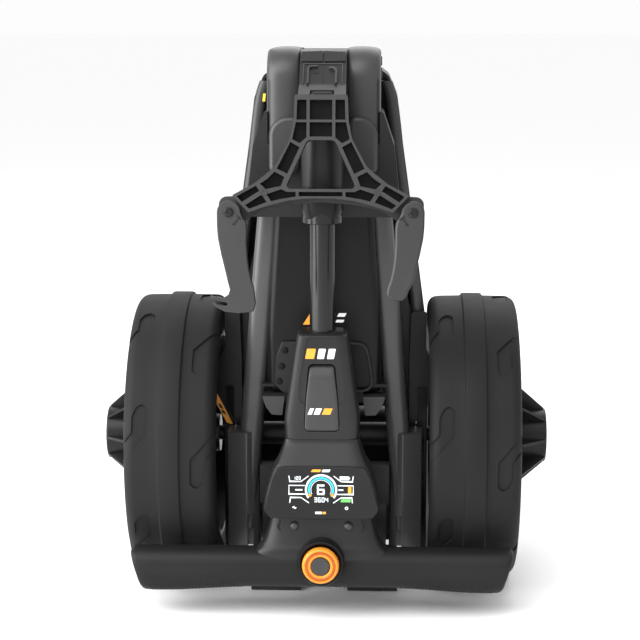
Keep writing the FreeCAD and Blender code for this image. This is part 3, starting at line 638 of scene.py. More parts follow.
def add_bar():
    """The rubber covered cross bar with slanted, rounded ends and patches of small studs."""
    reach = GRIP_HIGH.x
    ends = ((0.0004, 0.8), (0.0001, 0.88), (-0.0012, 0.95), (-0.003, 0.985), (-0.006, 1.0))
    stations = [(reach + more, size) for more, size in ends]
    stations += [(reach - 0.02 * step, 1.0) for step in range(1, 9)] + [(0.0, 1.0)]
    stations = [(-x, size) for x, size in stations] + [(x, size) for x, size in reversed(stations[:-1])]
    rings = []
    for x, size in stations:
        middle, tall = bar_section(x)
        rings.append(oval((x, BAR_Y, middle), (0, BAR_DEEP * size, 0),
            (bar_lean(x) * tall * size, 0, tall * size), BAR_POWER, 64))
    add("bar_skin", loft(rings), "handle", "grip_rubber", smooth=50, stands_for=("grip_left", "grip_right"))
    studs = bmesh.new()
    for _, side in SIDES:
        for row in range(8):
            turn = math.radians(-6 - 8.5 * row)
            first = 0.08 + STUD_PITCH * (7 - row) + STUD_PITCH / 2 * (row % 2)
            for step in range(28):
                x = first + STUD_PITCH * step
                if x > reach - 0.01:
                    break
                spot, out = bar_point(side * x, turn, -0.0002), bar_point(side * x, turn, 0.0004)
                above = bar_point(side * x, turn + 0.05)
                upward = (above - spot).normalized()
                base = [spot + Vector((1, 0, 0)) * STUD_RADIUS * math.cos(a)
                    + upward * STUD_RADIUS * math.sin(a) for a in (math.pi / 3 * k for k in range(6))]
                low = [studs.verts.new(p) for p in base]
                high = [studs.verts.new(out + (p - spot) * 0.66) for p in base]
                studs.faces.new(high)
                studs.faces.new(list(reversed(low)))
                for k in range(6):
                    studs.faces.new((low[k], low[(k + 1) % 6], high[(k + 1) % 6], high[k]))
    add("bar_studs", studs, "handle", "grip_rubber", smooth=20)


def add_hub():
    """The neck that runs from the display down into the cross bar, and the dial's collar."""
    front = HUB_LOW.y + 0.0105
    rows = smoothed(mm([(-10, 58, 5, -4), (6, 66, 3, -2), (15, 68, 2.4, 0), (19.5, 68, 2.4, 0),
        (22.5, 66.2, 2.8, 1), (25.5, 63.4, 3.6, 3), (29, 60.8, 5, 5), (34, 58, 6.6, 7), (40, 55.8, 8.2, 8),
        (48, 53.8, 9.6, 9), (56, 52, 10.3, 9), (61, 50.5, 10.5, 9)]), 4)
    add("hub_skin", upright((BAR_Z, front, HUB_HIGH.y), rows, 4.5), "handle", "shell_plastic", smooth=50,
        stands_for=("handle_hub",))
    low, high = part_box("speed_dial")
    collar = turned((0, HUB_LOW.y, (low.z + high.z) / 2), mm([(22.5, 22), (23.6, 16), (24, 5), (23.8, 1.5),
        (22.8, 0.2), (21.6, 0), (20.2, 0.6), (19.4, 4), (19.2, 9)]))
    add("dial_collar", collar, "handle", "shell_plastic", "battery_plastic", smooth=40)
    groove = strip(mirrored(mm([(-43, 54), (-45.2, 47), (-41, 41.2), (-26, 40.2)])), 0.0006)
    add("key_panel_line", slab(shifted(groove, BAR_Z), front + 0.0098, front + 0.0112), "handle",
        "shell_plastic", "dark gap")


def add_dial():
    """The knurled orange dial with its groove, a darker orange ring painted in the groove as shade, and the
    cap in its middle.
    """
    low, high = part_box("speed_dial")
    x, z, front = (low.x + high.x) / 2, (low.z + high.z) / 2, low.y
    radius = (high.x - low.x) / 2
    rows = mm([(0.6, 8.8), (0.2, 7.6), (0, 3), (0.8, 0.8), (1.8, 0), (2.9, 0.2), (3.4, 1.5), (4.8, 1.6),
        (5.3, 0.3), (6.2, -0.1), (7.8, 0.1), (8.6, 0.8), (8.9, 4)])
    rings = []
    for level, (inset, back) in enumerate(rows):
        r = radius - inset
        ring = oval((x, front + back, z), (r, 0, 0), (0, 0, r), steps=144)
        if level in (1, 2):
            ring = [spot + (spot - Vector((x, spot.y, z))).normalized() * (KNURL if i % 3 else -KNURL)
                for i, spot in enumerate(ring)]
        rings.append(ring)
    add("dial_skin", loft(rings), "speed_dial", "orange_plastic", smooth=28, stands_for=("speed_dial",))
    # a darker orange ring laid in the dial's groove: painted shade
    add("dial_groove_shade", slab(band(x, z, 0.0127, 0.0143, 0, 359.9, 96), front - 0.0002, front + 0.002),
        "speed_dial", "orange_plastic", "orange groove painted shade")
    r = radius - 0.0091
    cap = [(r, 0.004), (r, 0.0006), (r - 0.0004, 0.0001), (r * 0.8, -0.0001), (r * 0.6, 0.0002),
        (r * 0.1, 0.0004)]
    add("dial_cap_skin", turned((x, front, z), cap), "dial_cap", "shell_plastic", "dome_plastic", smooth=40,
        stands_for=("dial_cap",))


# ---------------------------------------------------------------- display

DISPLAY_LOW, DISPLAY_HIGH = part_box("display_housing")
GLASS_FRONT = DISPLAY_LOW.y - 0.0012
GAUGE_Z = DISPLAY_HIGH.z - 0.0474
MARK_DEPTH = 0.00025
SEGMENTS = {"0": "abcdef", "3": "abcdg", "4": "bcfg", "6": "acdefg", "2": "abdeg", "1": "bc"}


def shown(name, outlines, look):
    """Lit marks on the display's glass, drawn round the middle of its gauge, in millimetres."""
    forms = [slab(shifted(mm(outline), GAUGE_Z), GLASS_FRONT - MARK_DEPTH, GLASS_FRONT + 0.0002)
        for outline in outlines]
    add(name, forms, "handle", "screen_glass", look)


def digit(sign, x, z, wide, tall, stroke):
    """The outlines of a seven segment digit centred on (x, z)."""
    thin = stroke / 2
    half, up = wide / 2 - thin, tall / 2 - thin
    gap = stroke * 0.12
    lines = {"a": ((-half, up), (half, up)), "g": ((-half, 0), (half, 0)), "d": ((-half, -up), (half, -up)),
        "f": ((-half, up), (-half, 0)), "b": ((half, up), (half, 0)), "e": ((-half, 0), (-half, -up)),
        "c": ((half, 0), (half, -up))}
    made = []
    for name in SEGMENTS[sign]:
        (x0, z0), (x1, z1) = lines[name]
        if z0 == z1:
            made.append(rect(x + x0 - thin + gap, z + z0 - thin, x + x1 + thin - gap, z + z0 + thin))
        else:
            made.append(rect(x + x0 - thin, z + z1 + gap, x + x0 + thin, z + z0 - gap))
    return made


def flipped(points):
    return [(-x, z) for x, z in points]


def add_display():
    """The flared housing, its dark glass, what the screen shows, and the two keys under it."""
    front, back, top = DISPLAY_LOW.y, DISPLAY_HIGH.y, DISPLAY_HIGH.z
    rows = smoothed(mm([(-80.2, 49, 9, 0), (-78.5, 51.2, 3, 0), (-74, 56.2, 1, 0), (-68, 58.8, 0.6, 0),
        (-60, 58.2, 0.6, 0), (-45, 54.8, 0.6, 0), (-30, 50, 0.6, 0), (-24, 46.8, 1, 0), (-20.5, 44.8, 3, 0),
        (-12, 41.2, 9.2, 3), (-4, 38.6, 14.5, 6), (0.4, 37.8, 16, 9)]), 4)
    add("display_skin", upright((top, front, back), rows, 8), "handle", "shell_plastic", smooth=50,
        stands_for=("display_housing",))
    edge = mirrored(mm([(0, 24.6), (22, 24.2), (44.5, 23.2), (50, 11), (58.4, -21.4), (52, -30), (26, -30.7),
        (0, -30.9)]))
    glass = slab(shifted(edge, GAUGE_Z), GLASS_FRONT, front + 0.004, 0.006)
    add("display_glass", glass, "handle", "screen_glass", bevel=0.0007, stands_for=("display_screen",))
    lines = ([(-32.5, 14.5), (-31.7, 8.7), (-20.2, 8.7), (-12.7, 14.5)],
        [(-16.7, 4.5), (-32.5, 4.5), (-32.5, -4.5), (-16, -4.5)], [(-31.7, -13.6), (-31.1, -8.1),
        (-20.2, -8.1), (-12.3, -13.6)])
    white = []
    for line in lines:
        white += [strip(line, 0.95), strip(flipped(line), 0.95)[::-1]]
    white += [band(0, 0, 14.3, 16.3, -33, 213), band(0, 0, 10, 10.5, -25, 205)]
    white += digit("6", -0.3, 0.2, 7.8, 10.8, 1.9)
    for signs, x, z, step, size in (("3604", -5.4, -10.4, 3.7, (3, 5, 0.8)),
            ("120", -27, 12.2, 2.7, (2.1, 3.6, 0.6))):
        for place, sign in enumerate(signs):
            white += digit(sign, x + step * place, z, *size)
    white += [rect(18.8, 10.3, 28.2, 14.2), rect(28.2, 11.4, 29.1, 13.1), rect(-26.2, -0.7, -18.8, 0.7),
        rect(17.5, -0.7, 22.5, 0.7), strip([(-29, -18.8), (-27.6, -17.6), (-26.4, -19.6), (-25, -18.4)],
        0.9), band(25.8, -19, 0.9, 1.7, 0, 359, 20), rect(0.5, 18.6, 8.2, 21.2, 1.3), rect(-6, -25.2, 0.8,
        -22.8)]
    warm = [band(0, 0, 11.2, 13.6, -33, -20, 6), band(0, 0, 11.2, 13.6, 200, 213, 6),
        [(-10.5, 18.6), (-1.2, 18.6), (0.1, 21.2), (-8.5, 21.2)], rect(1.6, -25.2, 4.8, -22.8),
        rect(27.2, -3.4, 30.6, 3.4)]
    shown("screen_white", white, "lit white")
    shown("screen_cyan", [band(0, 0, 11.2, 13.3, -18, 198, 48)], "lit cyan")
    shown("screen_warm", warm, "lit amber")
    shown("screen_green", [[(19.5, -12.6), (29.8, -12.6), (29.8, -9.4), (20.8, -9.4)]], "lit green")
    for word, _ in SIDES:
        low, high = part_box("key_" + word)
        r = (high.x - low.x) / 2
        place = ((low.x + high.x) / 2, low.y, (low.z + high.z) / 2)
        rows = [(r * size, back / 1000) for size, back in ((1, 6), (1, 1.8), (0.97, 0.8), (0.86, -0.1),
            (0.62, -1), (0.34, -1.4), (0.08, -1.5))]
        add("key_dome_" + word, turned(place, rows), "key_" + word, "dome_plastic", smooth=60,
            stands_for=("key_" + word,))
        rows = [(r + more, back) for more, back in mm([(1.2, 3.5), (1.2, 1.9), (0.8, 1.4), (0.3, 1.6),
            (0.3, 3)])]
        add("key_ring_" + word, turned(place, rows), "handle", "shell_plastic", "dark gap", smooth=40)


# ---------------------------------------------------------------- stem and fold lever

def add_stem():
    """The tapered stem, with the shallow recess and lever well in its front, and the lever's flap."""
    low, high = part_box("stem_shell")
    front, back, base = low.y, high.y, low.z
    origin = (base, front, back)
    tall = high.z - 0.011 - base
    top = tall * 1000
    rows = smoothed(mm([(-0.3, 37.4, 0.2, 0), (12, 38.2, 0, 0), (24, 38, 0, 0), (62, 32.5, 0, 0),
        (92, 28.1, 0, 0), (top - 4.5, 25.8, 0.2, 0), (top - 1.4, 24.8, 1.4, -1), (top, 22.2, 4.8, -3)]), 5)
    skin = to_mesh(upright(origin, rows, 5.5), "stem")
    recess = mirrored(mm([(13, 105.5), (16.8, 98), (23.2, 54.5), (23.2, 42.5), (18.5, 36.5)]))
    well = mirrored(mm([(13.6, 78.5), (16.6, 42), (18.1, 16), (17, 8.8)]))
    for outline, depth, corner in ((recess, 0.0012, 0.004), (well, 0.0115, 0.005)):
        cutter = slab(shifted(outline, base), front - 0.003, front + depth, corner)
        skin = carve(skin, to_mesh(cutter, "cutter"))
    piece("stem_skin", skin, "handle", "shell_plastic", smooth=40, stands_for=("stem_shell",))
    rear_low, rear_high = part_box("stem_cover")
    rear = mirrored([(0.0195, base + tall - 0.0015), (0.0335, 0.202), (0.0325, 0.189)])
    add("stem_rear", slab(rear, rear_low.y - 0.0005, rear_high.y, 0.003), "handle", SLOT_OF["stem_cover"],
        bevel=0.001, stands_for=("stem_cover",))
    rows = smoothed(mm([(76.5, 11.8, 5.6, 7.2), (74, 12.6, 3.6, 7), (70, 12.9, 1.4, 6.8),
        (65.5, 13.3, -0.3, 6.6), (60, 13.9, -0.8, 6.6), (42, 15.9, -0.9, 6.6), (16, 17.4, -0.9, 6.6),
        (11, 16.8, -0.8, 6.6), (9.4, 15.2, 0.2, 6.2)]), 4)
    add("lever_flap", upright((base, front, front), rows, 7, 72), "fold_lever", "bracket_plastic", smooth=50,
        stands_for=("fold_lever",))
    seam = mm([(z, 37.4 + grow, -grow, grow) for z, grow in ((-0.9, 0.2), (-0.8, 0.5), (0.3, 0.5),
        (0.4, 0.2))])
    add("stem_seam", upright(origin, seam, 5.5), "handle", "shell_plastic", "dark gap", smooth=40)
    stem_marks = {"orange": mm([rect(-16.8, 83.8, -7.8, 94.2, 2)]),
        "white": mm([rect(-4.8, 83.8, 2.2, 94.2, 2), rect(5.2, 83.8, 12.2, 94.2, 2)])}
    lever_marks = {"orange": mm([rect(0.2, 26.8, 8.6, 33.2, 2.6)]),
        "white": mm([rect(-14.2, 26.8, -10.2, 33.2, 2.6), rect(-8.2, 26.8, -2.2, 33.2, 2.6)])}
    stem_place = ("handle", "shell_plastic", 0.001, 0.0015, 0.0008)
    lever_place = ("fold_lever", "bracket_plastic", -0.0011, -0.0005, 0.0)
    for word, marks, (body, slot_name, near, far, corner) in (("stem", stem_marks, stem_place),
            ("lever", lever_marks, lever_place)):
        for colour, outlines in marks.items():
            forms = [slab(shifted(outline, base), front + near, front + far, corner) for outline in outlines]
            add(f"{word}_marks_{colour}", forms, body, slot_name, colour + " mark")


# ---------------------------------------------------------------- bag bracket, arms and knuckle

BRACKET_TOP = Vector((0, -0.152, 0.531))
LEAN = Matrix.Translation(BRACKET_TOP) @ Matrix.Rotation(math.radians(-8), 4, "X")
ARM_X, ARM_Z = 0.09, -0.1145    # the arms' pivots, in the leaning frame
BRACKET_EDGE = mirrored(mm([(24.5, -1.5), (25.8, -26), (29.5, -44), (44, -71.2), (64, -87.4), (84.5, -98.5),
    (70.5, -113.2), (54, -107.5), (32, -101.5), (12, -99.4)]))
BRACKET_WINDOW = mirrored(mm([(15, -42.8), (37.2, -93)]))
# the right arm's outline below its pivot, in millimetres. The left arm ends in a hook with two prongs.
ARM_OUTER = [(101.3, -128.5), (100.3, -140), (97, -156), (93, -172), (90.4, -183)]
ARM_HOOK = [(88.5, -190), (89.8, -195), (95, -198.2), (103, -197.4), (107.8, -195.8), (106.8, -197.6),
    (100.9, -201.5), (92, -202.8), (89.7, -204.2), (92.5, -206.4), (99.9, -204.7), (103.3, -202),
    (105.6, -203), (102.8, -206.8), (93, -211.8), (80.3, -213.2), (66, -211.8), (63.4, -204)]
ARM_TIP = [(86.6, -190), (84.2, -196.6), (79.9, -200.6), (69, -199.6), (64.2, -195)]
ARM_INNER = [(65.4, -188), (68.2, -180), (70.4, -170), (71.8, -159), (72.7, -145), (72.6, -130),
    (73.5, -123.5), (76.5, -119.5)]


def add_shaft_collar():
    """The tapered collar between the shaft's flange and the knuckle's sleeve."""
    low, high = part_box("shaft_tube")
    y = (low.y + high.y) / 2
    rings = [oval((0, y, z), (r, 0, 0), (0, r, 0), 2.6, 64) for z, r in mm([(403, 16), (404.5, 17.2),
        (410, 19), (416, 20.5), (428, 20.8), (440.5, 20.6)])]
    add("shaft_collar", loft(rings), "handle", "shell_plastic", "battery_plastic", smooth=50)


def add_bracket_details():
    """The bracket's bosses and cell floors, and the arms with their bolts, slots and hook."""
    bosses = []
    bolts = []
    for _, side in SIDES:
        boss = turned((0, 0, 0), mm(((4.1, -4), (3.7, -19.6), (3.3, -20.4), (2.2, -20.4), (1.8, -19),
            (1.7, -12))), 32)
        bosses.append(moved(boss, LEAN @ Matrix.Translation((side * 0.0554, 0, -0.0954))))
        for y, facing, size in ((-0.018, -1, (0.0045, 0.0028, 1.12)), (0.01, 1, (0.005, 0.0045, 1.4))):
            at = LEAN @ frame_at((side * ARM_X, y, ARM_Z), (0, facing, 0))
            bolts.append(moved(hex_bolt(*size), at))
    add("bracket_bosses", bosses, "handle", "bracket_plastic", smooth=40)
    add("arm_hex_bolts", bolts, "handle", "steel", "dark steel", stands_for=("arm_bolts",))
    cells = carve(to_mesh(slab(rounded(BRACKET_EDGE, 0.004), -0.0037, -0.0022), "floors"),
        to_mesh(slab(rounded(BRACKET_WINDOW, 0.003), -0.01, 0.004), "window"))
    cells.transform(LEAN)
    piece("bracket_floors", cells, "handle", "bracket_plastic", "battery_plastic")
    for word, side in SIDES:
        edge = arc(ARM_X, ARM_Z, 0.0115, 180, 0, 12) + mm(ARM_OUTER + (ARM_HOOK if side < 0 else ARM_TIP)
            + ARM_INNER)
        outline = [(side * x, z) for x, z in edge]
        body = "strap_arm_" + word
        add("arm_skin_" + word, moved(slab(outline, -0.0178, -0.0062), LEAN), body, "bracket_plastic",
            smooth=25, bevel=0.0022, stands_for=(body,))
        marks = [strip([(side * 0.085, -0.1265), (side * 0.0793, -0.1196)], 0.002),
            strip([(side * 0.0822, -0.1178), (side * 0.0768, -0.1216)], 0.0016),
            strip(arc(side * 0.0846, -0.1215, 0.0052, 250, 290, 6), 0.001)]
        forms = [moved(slab(mark, -0.0181, -0.0174), LEAN) for mark in marks]
        add("arm_slot_" + word, forms, body, "bracket_plastic", "dark gap")


def slope_place(u, s, w):
    """A point on the knuckle's sloping face: across, down the slope, and off it."""
    return Vector((u, -0.107 - 0.786 * s - 0.618 * w, 0.5575 - 0.618 * s + 0.786 * w))


def on_slope(outline, height):
    return prism(outline, lambda u, v, w: slope_place(u, v, w - 0.0006), height + 0.0006)


def add_knuckle_details():
    """The cap step, the split line and the ribs round the recess on the knuckle's sloping face."""
    cap = mm([(0.6, -24), (22.2, -22.5), (22.5, -8.2), (0.6, -7.6)])
    caps = [on_slope(rounded([(side * u, s) for u, s in cap], 0.0012), 0.0016) for _, side in SIDES]
    add("knuckle_cap", caps, "handle", "shell_plastic", bevel=0.0005)
    left = mm([(-14.8, 26.2), (-14.8, 3.5), (-13.8, 1), (-11.5, 0), (-5.2, 0)])
    right = mm([(13.2, 26.2), (13.2, 7), (12.2, 4.2), (10, 2.8), (6.2, 2.4)])
    wide = mirrored(mm([(-19.5, 26.2), (-19.5, -5)]))
    ribs = [on_slope(strip(line, width), height) for line, width, height in ((left, 0.0022, 0.0022),
        (right, 0.0022, 0.0026), (wide, 0.0012, 0.0008))]
    add("knuckle_ribs", ribs, "handle", "shell_plastic", "dome_plastic", bevel=0.0004)
    seam = on_slope(strip([(0.0, -0.0245), (0.0, 0.0262)], 0.0007), 0.0003)
    inset = on_slope(rounded(rect(-0.0095, 0.0035, -0.004, 0.0095), 0.001), 0.0004)
    add("knuckle_seam", [seam, inset], "handle", "shell_plastic", "dark gap")


# ---------------------------------------------------------------- battery, panels and feet

def add_battery_details():
    """The cover's slots and marks, the connector plate with its rod, and the marks on the panels."""
    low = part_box("battery_cover")[0]
    front, base = low.y, low.z
    slots = [slab(rounded(rect(side * 0.0665, base + 0.0102, side * 0.0525, base + 0.0072), 0.0008),
        front - 0.0008, front + 0.01) for _, side in SIDES]
    add("cover_slots", slots, "chassis", "battery_plastic", "dark gap")
    wedge = mm([(-22.2, 73.5), (-14, 73.5), (-14, 86.5)])
    bars = mm([rect(13.5, 82, 21.5, 85.8, 2), rect(11.8, 76, 19.8, 78.8, 1.4)])
    for name, outlines, look in (("cover_wedge", [wedge], "orange mark"), ("cover_bars", bars, "white mark")):
        add(name, [slab(shifted(outline, base), front - 0.0003, front + 0.0006) for outline in outlines],
            "chassis", "battery_plastic", look)
    plate_low, plate_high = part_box("connector_plate")
    solid = rounded(mm([(10, 272), (-44, 272), (-50, 256), (-52.3, 227), (-43, 217), (10, 217)]), 0.004)
    rod = mm([(8, 270), (30, 270.5), (39.5, 269.5), (44, 265), (47, 255), (50.2, 231), (49.8, 225.5),
        (46.5, 221.5), (40, 219.5), (8, 219.5)])
    forms = [slab(outline, plate_low.y, plate_high.y) for outline in (solid, strip(rod, 0.003))]
    add("plate_skin", forms, "chassis", SLOT_OF["connector_plate"], bevel=0.0007,
        stands_for=("connector_plate",))
    heads = [screw((x, plate_low.y, z), (0, -1, 0), 0.0036, 0.0016)
        for x, z in mm([(-41, 263), (-44.5, 246), (-47, 230)])]
    add("plate_screws", heads, "chassis", "steel", "battery_plastic", stands_for=("connector_screws",))
    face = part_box("side_plates")[0].y
    badge = mm([(-121.5, 209.5), (-116.5, 204.5), (-99.3, 170.5), (-106.8, 173.5), (-124, 206)])
    add("panel_badge", slab(badge, face - 0.0014, face + 0.001, 0.001), "chassis", "shell_plastic",
        "orange mark", bevel=0.0003)
    bars = mm([[(-116.8, 195.5), (-112.8, 193.5), (-109.8, 188), (-113.8, 190)],
        [(-113.2, 188.5), (-109.2, 186.5), (-106.8, 182), (-110.8, 184)]])
    add("badge_bars", [slab(bar, face - 0.0017, face - 0.001) for bar in bars], "chassis", "shell_plastic",
        "dark gap")
    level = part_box("front_shell")[0].y
    add("shell_mark", slab(rect(-0.0668, 0.5185, -0.064, 0.5268, 0.0008), level - 0.0044, level - 0.002),
        "front_frame", "shell_plastic", "yellow mark")


def add_chassis_details():
    """Screws in the leg sockets and the guard panel, the panel's ribs, and the hinges' bolt heads."""
    heads = []
    for word, side in SIDES:
        low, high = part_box("socket_" + word)
        outer = low.x if side < 0 else high.x
        for z in (high.z - 0.02, high.z - 0.058, low.z + 0.022):
            heads.append(screw((outer, (low.y + high.y) / 2, z), (side, 0, 0), 0.0042, 0.0022))
    low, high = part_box("guard_panel")
    for _, side in SIDES:
        for z in (low.z + 0.016, (low.z + high.z) / 2, high.z - 0.016):
            heads.append(screw((side * 0.077, high.y, z), (0, 1, 0), 0.0044, 0.0024))
    add("chassis_screws", heads, "chassis", "shell_plastic", "dark steel")
    ribs = [slab(rect(-0.062, z, 0.062, z + 0.006), high.y - 0.001, high.y + 0.0025, 0.0028)
        for z in (low.z + 0.034 + 0.02 * step for step in range(6))]
    add("guard_ribs", ribs, "chassis", "shell_plastic", bevel=0.0008)
    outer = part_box("hinge_ears")[1].x
    caps = []
    for y, z, size in ((-0.062, 0.55, 0.00651), (0.005, 0.56, 0.00558)):
        for _, side in SIDES:
            at = frame_at((side * outer, y, z), (side, 0, 0))
            caps.append(moved(hex_bolt(size, 0.002, 1.6), at))
    add("hinge_bolt_heads", caps, "chassis", "steel", "dark steel", stands_for=("hinge_pins",))


# ---------------------------------------------------------------- legs, sockets and shells

def add_legs():
    """The leaning leg tubes, their ridged sockets, and the dark panels beside them."""
    for word, side in SIDES:
        low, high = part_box("leg_tube_" + word)
        half, deep = 0.0125, (high.y - low.y) / 2
        foot, head = max(abs(low.x), abs(high.x)) - half, min(abs(low.x), abs(high.x)) + half
        y = (low.y + high.y) / 2
        rings = []
        for step in range(9):
            part = step / 8
            z = low.z + 0.001 + (high.z - low.z - 0.002) * part
            rings.append(oval((side * (foot + (head - foot) * part), y, z), (half, 0, 0), (0, deep, 0), 3.4,
                48))
        add("leg_skin_" + word, loft(rings), "chassis", "frame_paint", smooth=50,
            stands_for=("leg_tube_" + word,))
        low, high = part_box("socket_" + word)
        inner, outer = min(abs(low.x), abs(high.x)), max(abs(low.x), abs(high.x))
        plan = [(side * outer, high.y), (side * outer, low.y + 0.0075), (side * (outer - 0.0215), low.y),
            (side * (inner + 0.002), low.y + 0.012), (side * inner, low.y + 0.016), (side * inner, high.y)]
        plan = rounded(plan, 0.0025, 4)
        form = prism(plan, lambda u, v, w: (u, v, low.z + w), high.z - low.z)
        notch = rect(side * 0.0765, low.z - 0.002, side * 0.0825, low.z + 0.036)
        skin = carve(to_mesh(form, "socket"), to_mesh(slab(notch, low.y - 0.002, low.y + 0.012, 0.0025),
            "notch"))
        # the sockets take the lighter grey, a painted sheen on black plastic
        piece("socket_skin_" + word, skin, "chassis", "shell_plastic", "socket painted sheen", 35, 0.0012,
            stands_for=("socket_" + word,))
        screen = [(side * 0.098, low.z - 0.012), (side * 0.1095, low.z - 0.018),
            (side * 0.1095, high.z + 0.045), (side * 0.098, high.z + 0.045)]
        add("skirt_" + word, slab(screen, high.y - 0.004, high.y + 0.002, 0.003), "chassis", "shell_plastic",
            "battery_plastic", bevel=0.0006)
        screen = rect(side * 0.07, high.z + 0.01, side * 0.099, high.z + 0.13)
        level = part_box("battery_tray")[1].y
        add("inner_skirt_" + word, slab(screen, level + 0.0005, level + 0.0035, 0.003), "chassis",
            "shell_plastic", "battery_plastic", bevel=0.0006)


def add_ear_skins():
    """Bulged covers over the front and top of the two hinge ears."""
    low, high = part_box("hinge_ears")
    forms = []
    for _, side in SIDES:
        rings = []
        for x, lift in mm([(24.3, -1), (25, 0.4), (26.8, 1.4), (32, 2.4), (38, 2.8), (44, 2.5), (49, 1.6),
                (53, 0.2), (55.8, -1.8), (57.4, -4.8), (58, -8.5)]):
            front, top = low.y - lift, high.z + 0.0004 + lift * 0.5
            profile = rounded([(front, low.z + 0.002), (front, top), (-0.03, top), (-0.03, top - 0.012),
                (front + 0.022, top - 0.03), (front + 0.022, low.z + 0.002)], 0.03, 12)
            rings.append([Vector((side * x, y, z)) for y, z in profile])
        forms.append(loft(rings))
    add("ear_skins", forms, "chassis", "shell_plastic", "dome_plastic", smooth=50)


def add_shell_details():
    """Rounded front edges on the folded front section's side walls, and ribs and screws on its back."""
    low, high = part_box("front_shell")
    outer = mm([(540, 70), (530, 73.5), (515, 76.6), (490, 79.8), (460, 83.2), (424, 88.4), (380, 94.2),
        (335, 100.2), (300, 104.8), (270, 106.7), (254, 106.8)])
    wide = 0.0068
    for word, side in SIDES:
        rings = [oval((side * (x - wide), low.y + 0.004, z), (wide, 0, 0), (0, 0.0075, 0), 2.4, 32)
            for z, x in smoothed(outer, 3)]
        add("shell_edge_" + word, loft(rings), "front_frame", "shell_plastic", "dome_plastic", smooth=60)
    ribs = []
    for step in range(5):
        z = 0.462 + 0.014 * step
        half = 0.052 - 0.003 * step
        ribs.append(slab(rect(-half, z, half, z + 0.005), high.y - 0.001, high.y + 0.0016, 0.0024))
    for _, side in SIDES:
        ribs.append(slab([(side * 0.062, 0.415), (side * 0.068, 0.415), (side * 0.082, 0.275),
            (side * 0.076, 0.275)], high.y - 0.001, high.y + 0.0018, 0.0024))
    add("shell_ribs", ribs, "front_frame", "shell_plastic", bevel=0.0006)
    heads = [screw((side * x, high.y, z), (0, 1, 0), 0.004, 0.002) for _, side in SIDES
        for x, z in ((0.058, 0.525), (0.094, 0.268), (0.088, 0.4))]
    add("shell_screws", heads, "front_frame", "shell_plastic", "dark steel")
    rest_low, rest_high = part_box("lower_bag_support")
    pads = []
    for _, side in SIDES:
        outline = [(side * 0.058, rest_low.z + 0.0085), (side * 0.0695, rest_high.z - 0.0005),
            (side * 0.068, rest_high.z + 0.0012), (side * 0.056, rest_low.z + 0.0102)]
        pads.append(slab(outline, rest_low.y + 0.003, rest_high.y - 0.002))
    pads.append(slab(rect(-0.054, rest_low.z + 0.008, 0.054, rest_low.z + 0.0098), rest_low.y + 0.003,
        rest_high.y - 0.002))
    add("support_pads", pads, "front_frame", "foot_rubber", bevel=0.0005)


# ---------------------------------------------------------------- wheels

def add_rim_details(word, side):
    """Spokes and a lip on both faces of a rear rim, and a ring of screws round the hub cap."""
    low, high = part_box("rim_" + word)
    y, z = (low.y + high.y) / 2, (low.z + high.z) / 2
    forms = []
    for step in range(10):
        out, across = radial(2 * math.pi * (step + 0.5) / 10)
        for inner, outer, near, far in ((0.05, 0.1078, 0.1575, 0.17), (0.026, 0.1078, 0.1505, 0.14)):
            outline = [(inner, -0.0028), (outer, -0.004), (outer, 0.004), (inner, 0.0028)]

            def spot(u, v, w):
                fall = (u - inner) / (outer - inner)
                level = near + (far - near) * w * (0.45 + 0.55 * fall)
                return Vector((side * level, y, z)) + out * u + across * v
            forms.append(prism(outline, spot, 1.0))
    add("rim_spokes_" + word, forms, "wheel_" + word, "rim_plastic", bevel=0.0008)
    outer = high.x if side > 0 else low.x
    lip = [(outer + side * x, r) for x, r in mm([(0.6, 112.5), (0.6, 106.8), (-4.5, 106), (-4.5, 109)])]
    ring = lathe(lip, y, z, 160)
    heads = []
    for step in range(5):
        place = Vector((side * 0.158, y, z)) + radial(2 * math.pi * (step + 0.25) / 5)[0] * 0.072
        heads.append(moved(hex_bolt(0.004, 0.0034, 1.5), frame_at(place, (side, 0, 0))))
    add("rim_lip_" + word, ring, "wheel_" + word, "rim_plastic", "dome_plastic", smooth=35)
    add("rim_bolts_" + word, heads, "wheel_" + word, "rim_plastic", "dark steel")


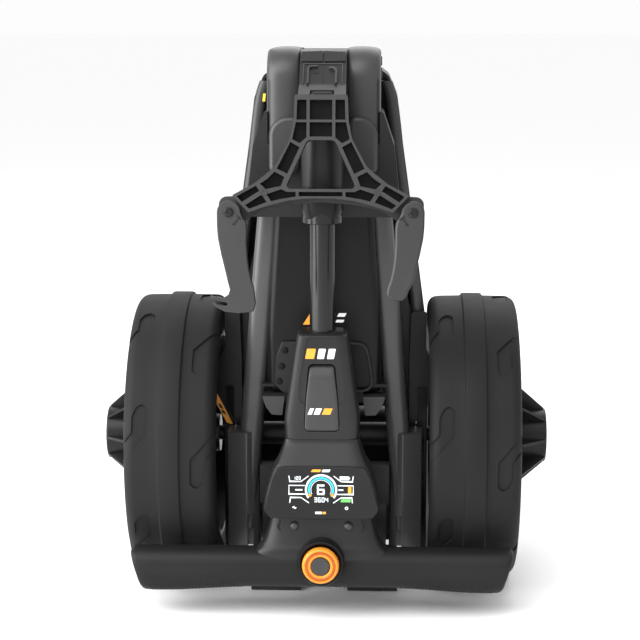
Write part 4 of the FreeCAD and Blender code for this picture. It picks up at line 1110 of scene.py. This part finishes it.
def add_front_wheel():
    """The front tyre with ribs and cross cuts, spokes in its rim, and the axle's nuts."""
    low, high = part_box("front_tyre")
    y, z = (low.y + high.y) / 2, (low.z + high.z) / 2
    crown, half = (high.y - low.y) / 2, (high.x - low.x) / 2
    one_side = [(half - inset, r) for inset, r in mm([(4, -28), (0.5, -22), (0, -14), (1.2, -7.5),
        (4.5, -3.5), (9.5, -1.2)])]
    one_side += mm([(13.2, -0.4), (12.6, -2.2), (10.2, -2.4), (9.6, -0.3), (5.6, 0), (5, -2), (3, -2),
        (2.4, 0)])
    profile = [(x, crown + r) for x, r in one_side] + [(-x, crown + r) for x, r in reversed(one_side)]
    body = to_mesh(lathe(profile, y, z, 180), "front tyre")
    cuts = []
    for step in range(24):
        for _, side in SIDES:
            out, along = radial(2 * math.pi * (step + (0.25 if side > 0 else 0.75)) / 24)
            outline = mm([(14.5, -2.2), (30, -7), (30, -1.5), (14.5, 2.2)])

            def spot(u, v, w):
                return Vector((side * u, y, z)) + out * (crown - 0.0042 + 0.01 * w) + along * v * side
            cuts.append(prism(outline, spot, 1.0))
    grooved = carve(body, to_mesh(joined(cuts), "cuts"))
    piece("front_tyre_skin", grooved, "front_wheel", "tyre_rubber", smooth=32, stands_for=("front_tyre",))
    forms = []
    for step in range(8):
        out, across = radial(2 * math.pi * step / 8)
        for _, side in SIDES:
            outline = mm([(15, -3), (68.5, -4), (68.5, 4), (15, 3)])

            def spoke(u, v, w):
                return Vector((side * (0.0055 + 0.0125 * w * (1.3 - u / 0.0685 * 0.5)), y,
                    z)) + out * u + across * v
            forms.append(prism(outline, spoke, 1.0))
    add("front_spokes", forms, "front_wheel", "rim_plastic", bevel=0.0008)
    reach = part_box("front_axle")[1].x - 0.003
    nuts = [moved(hex_bolt(0.007, 0.005, 1.45), frame_at((side * reach, y, z), (side, 0, 0)))
        for _, side in SIDES]
    add("front_axle_nuts", nuts, "front_frame", "steel", "dark steel")


for side_name, direction in SIDES:
    add_tyre(side_name)
    add_rim_details(side_name, direction)
add_front_wheel()
add_bar()
add_hub()
add_dial()
add_display()
add_stem()
add_shaft_collar()
add_bracket_details()
add_knuckle_details()
add_legs()
add_ear_skins()
add_shell_details()
add_battery_details()
add_chassis_details()

# ---------------------------------------------------------------- studio

FLOOR_REACH = 60
LIGHTS = (    # name, place, aim, size, watts
    ("side", (-1.9, -1.0, 0.9), (0, 0, 0.3), 2.2, 95),
    ("key", (-0.7, -1.7, 2.2), (0, 0, 0.2), 1.8, 38),
    ("back", (0.4, 1.8, 2.2), (0, 0, 0.2), 2.4, 30),
)


def add_floor():
    """A plain pale floor."""
    mesh = bpy.data.meshes.new("floor")
    form = bmesh.new()
    bmesh.ops.create_grid(form, x_segments=2, y_segments=2, size=FLOOR_REACH)
    form.to_mesh(mesh)
    form.free()
    floor = bpy.data.objects.new("floor", mesh)
    bpy.context.scene.collection.objects.link(floor)
    shader = Shader("pale floor")
    shader.link(shader.ramp(shader.noise(3.0), grey(0.975), grey(0.98)), shader.surface.inputs["Base Color"])
    shader.surface.inputs["Roughness"].default_value = 0.55
    floor.data.materials.append(shader.material)
    floor.location.z = -0.0005


def add_light(name, place, aim, size, power):
    """A soft square light."""
    data = bpy.data.lights.new(name, "AREA")
    data.size = size
    data.energy = power
    light = bpy.data.objects.new(name, data)
    bpy.context.scene.collection.objects.link(light)
    light.location = place
    light.rotation_euler = (Vector(aim) - Vector(place)).to_track_quat("-Z", "Y").to_euler()


def add_world():
    """An even pale studio all round."""
    world = bpy.data.worlds.new("studio")
    world.use_nodes = True
    backdrop = world.node_tree.nodes["Background"]
    backdrop.inputs["Color"].default_value = (0.98, 0.98, 0.985, 1)
    backdrop.inputs["Strength"].default_value = 1.0
    bpy.context.scene.world = world


add_camera()
add_floor()
add_world()
for light in LIGHTS:
    add_light(*light)
bpy.context.scene.view_settings.view_transform = "Standard"
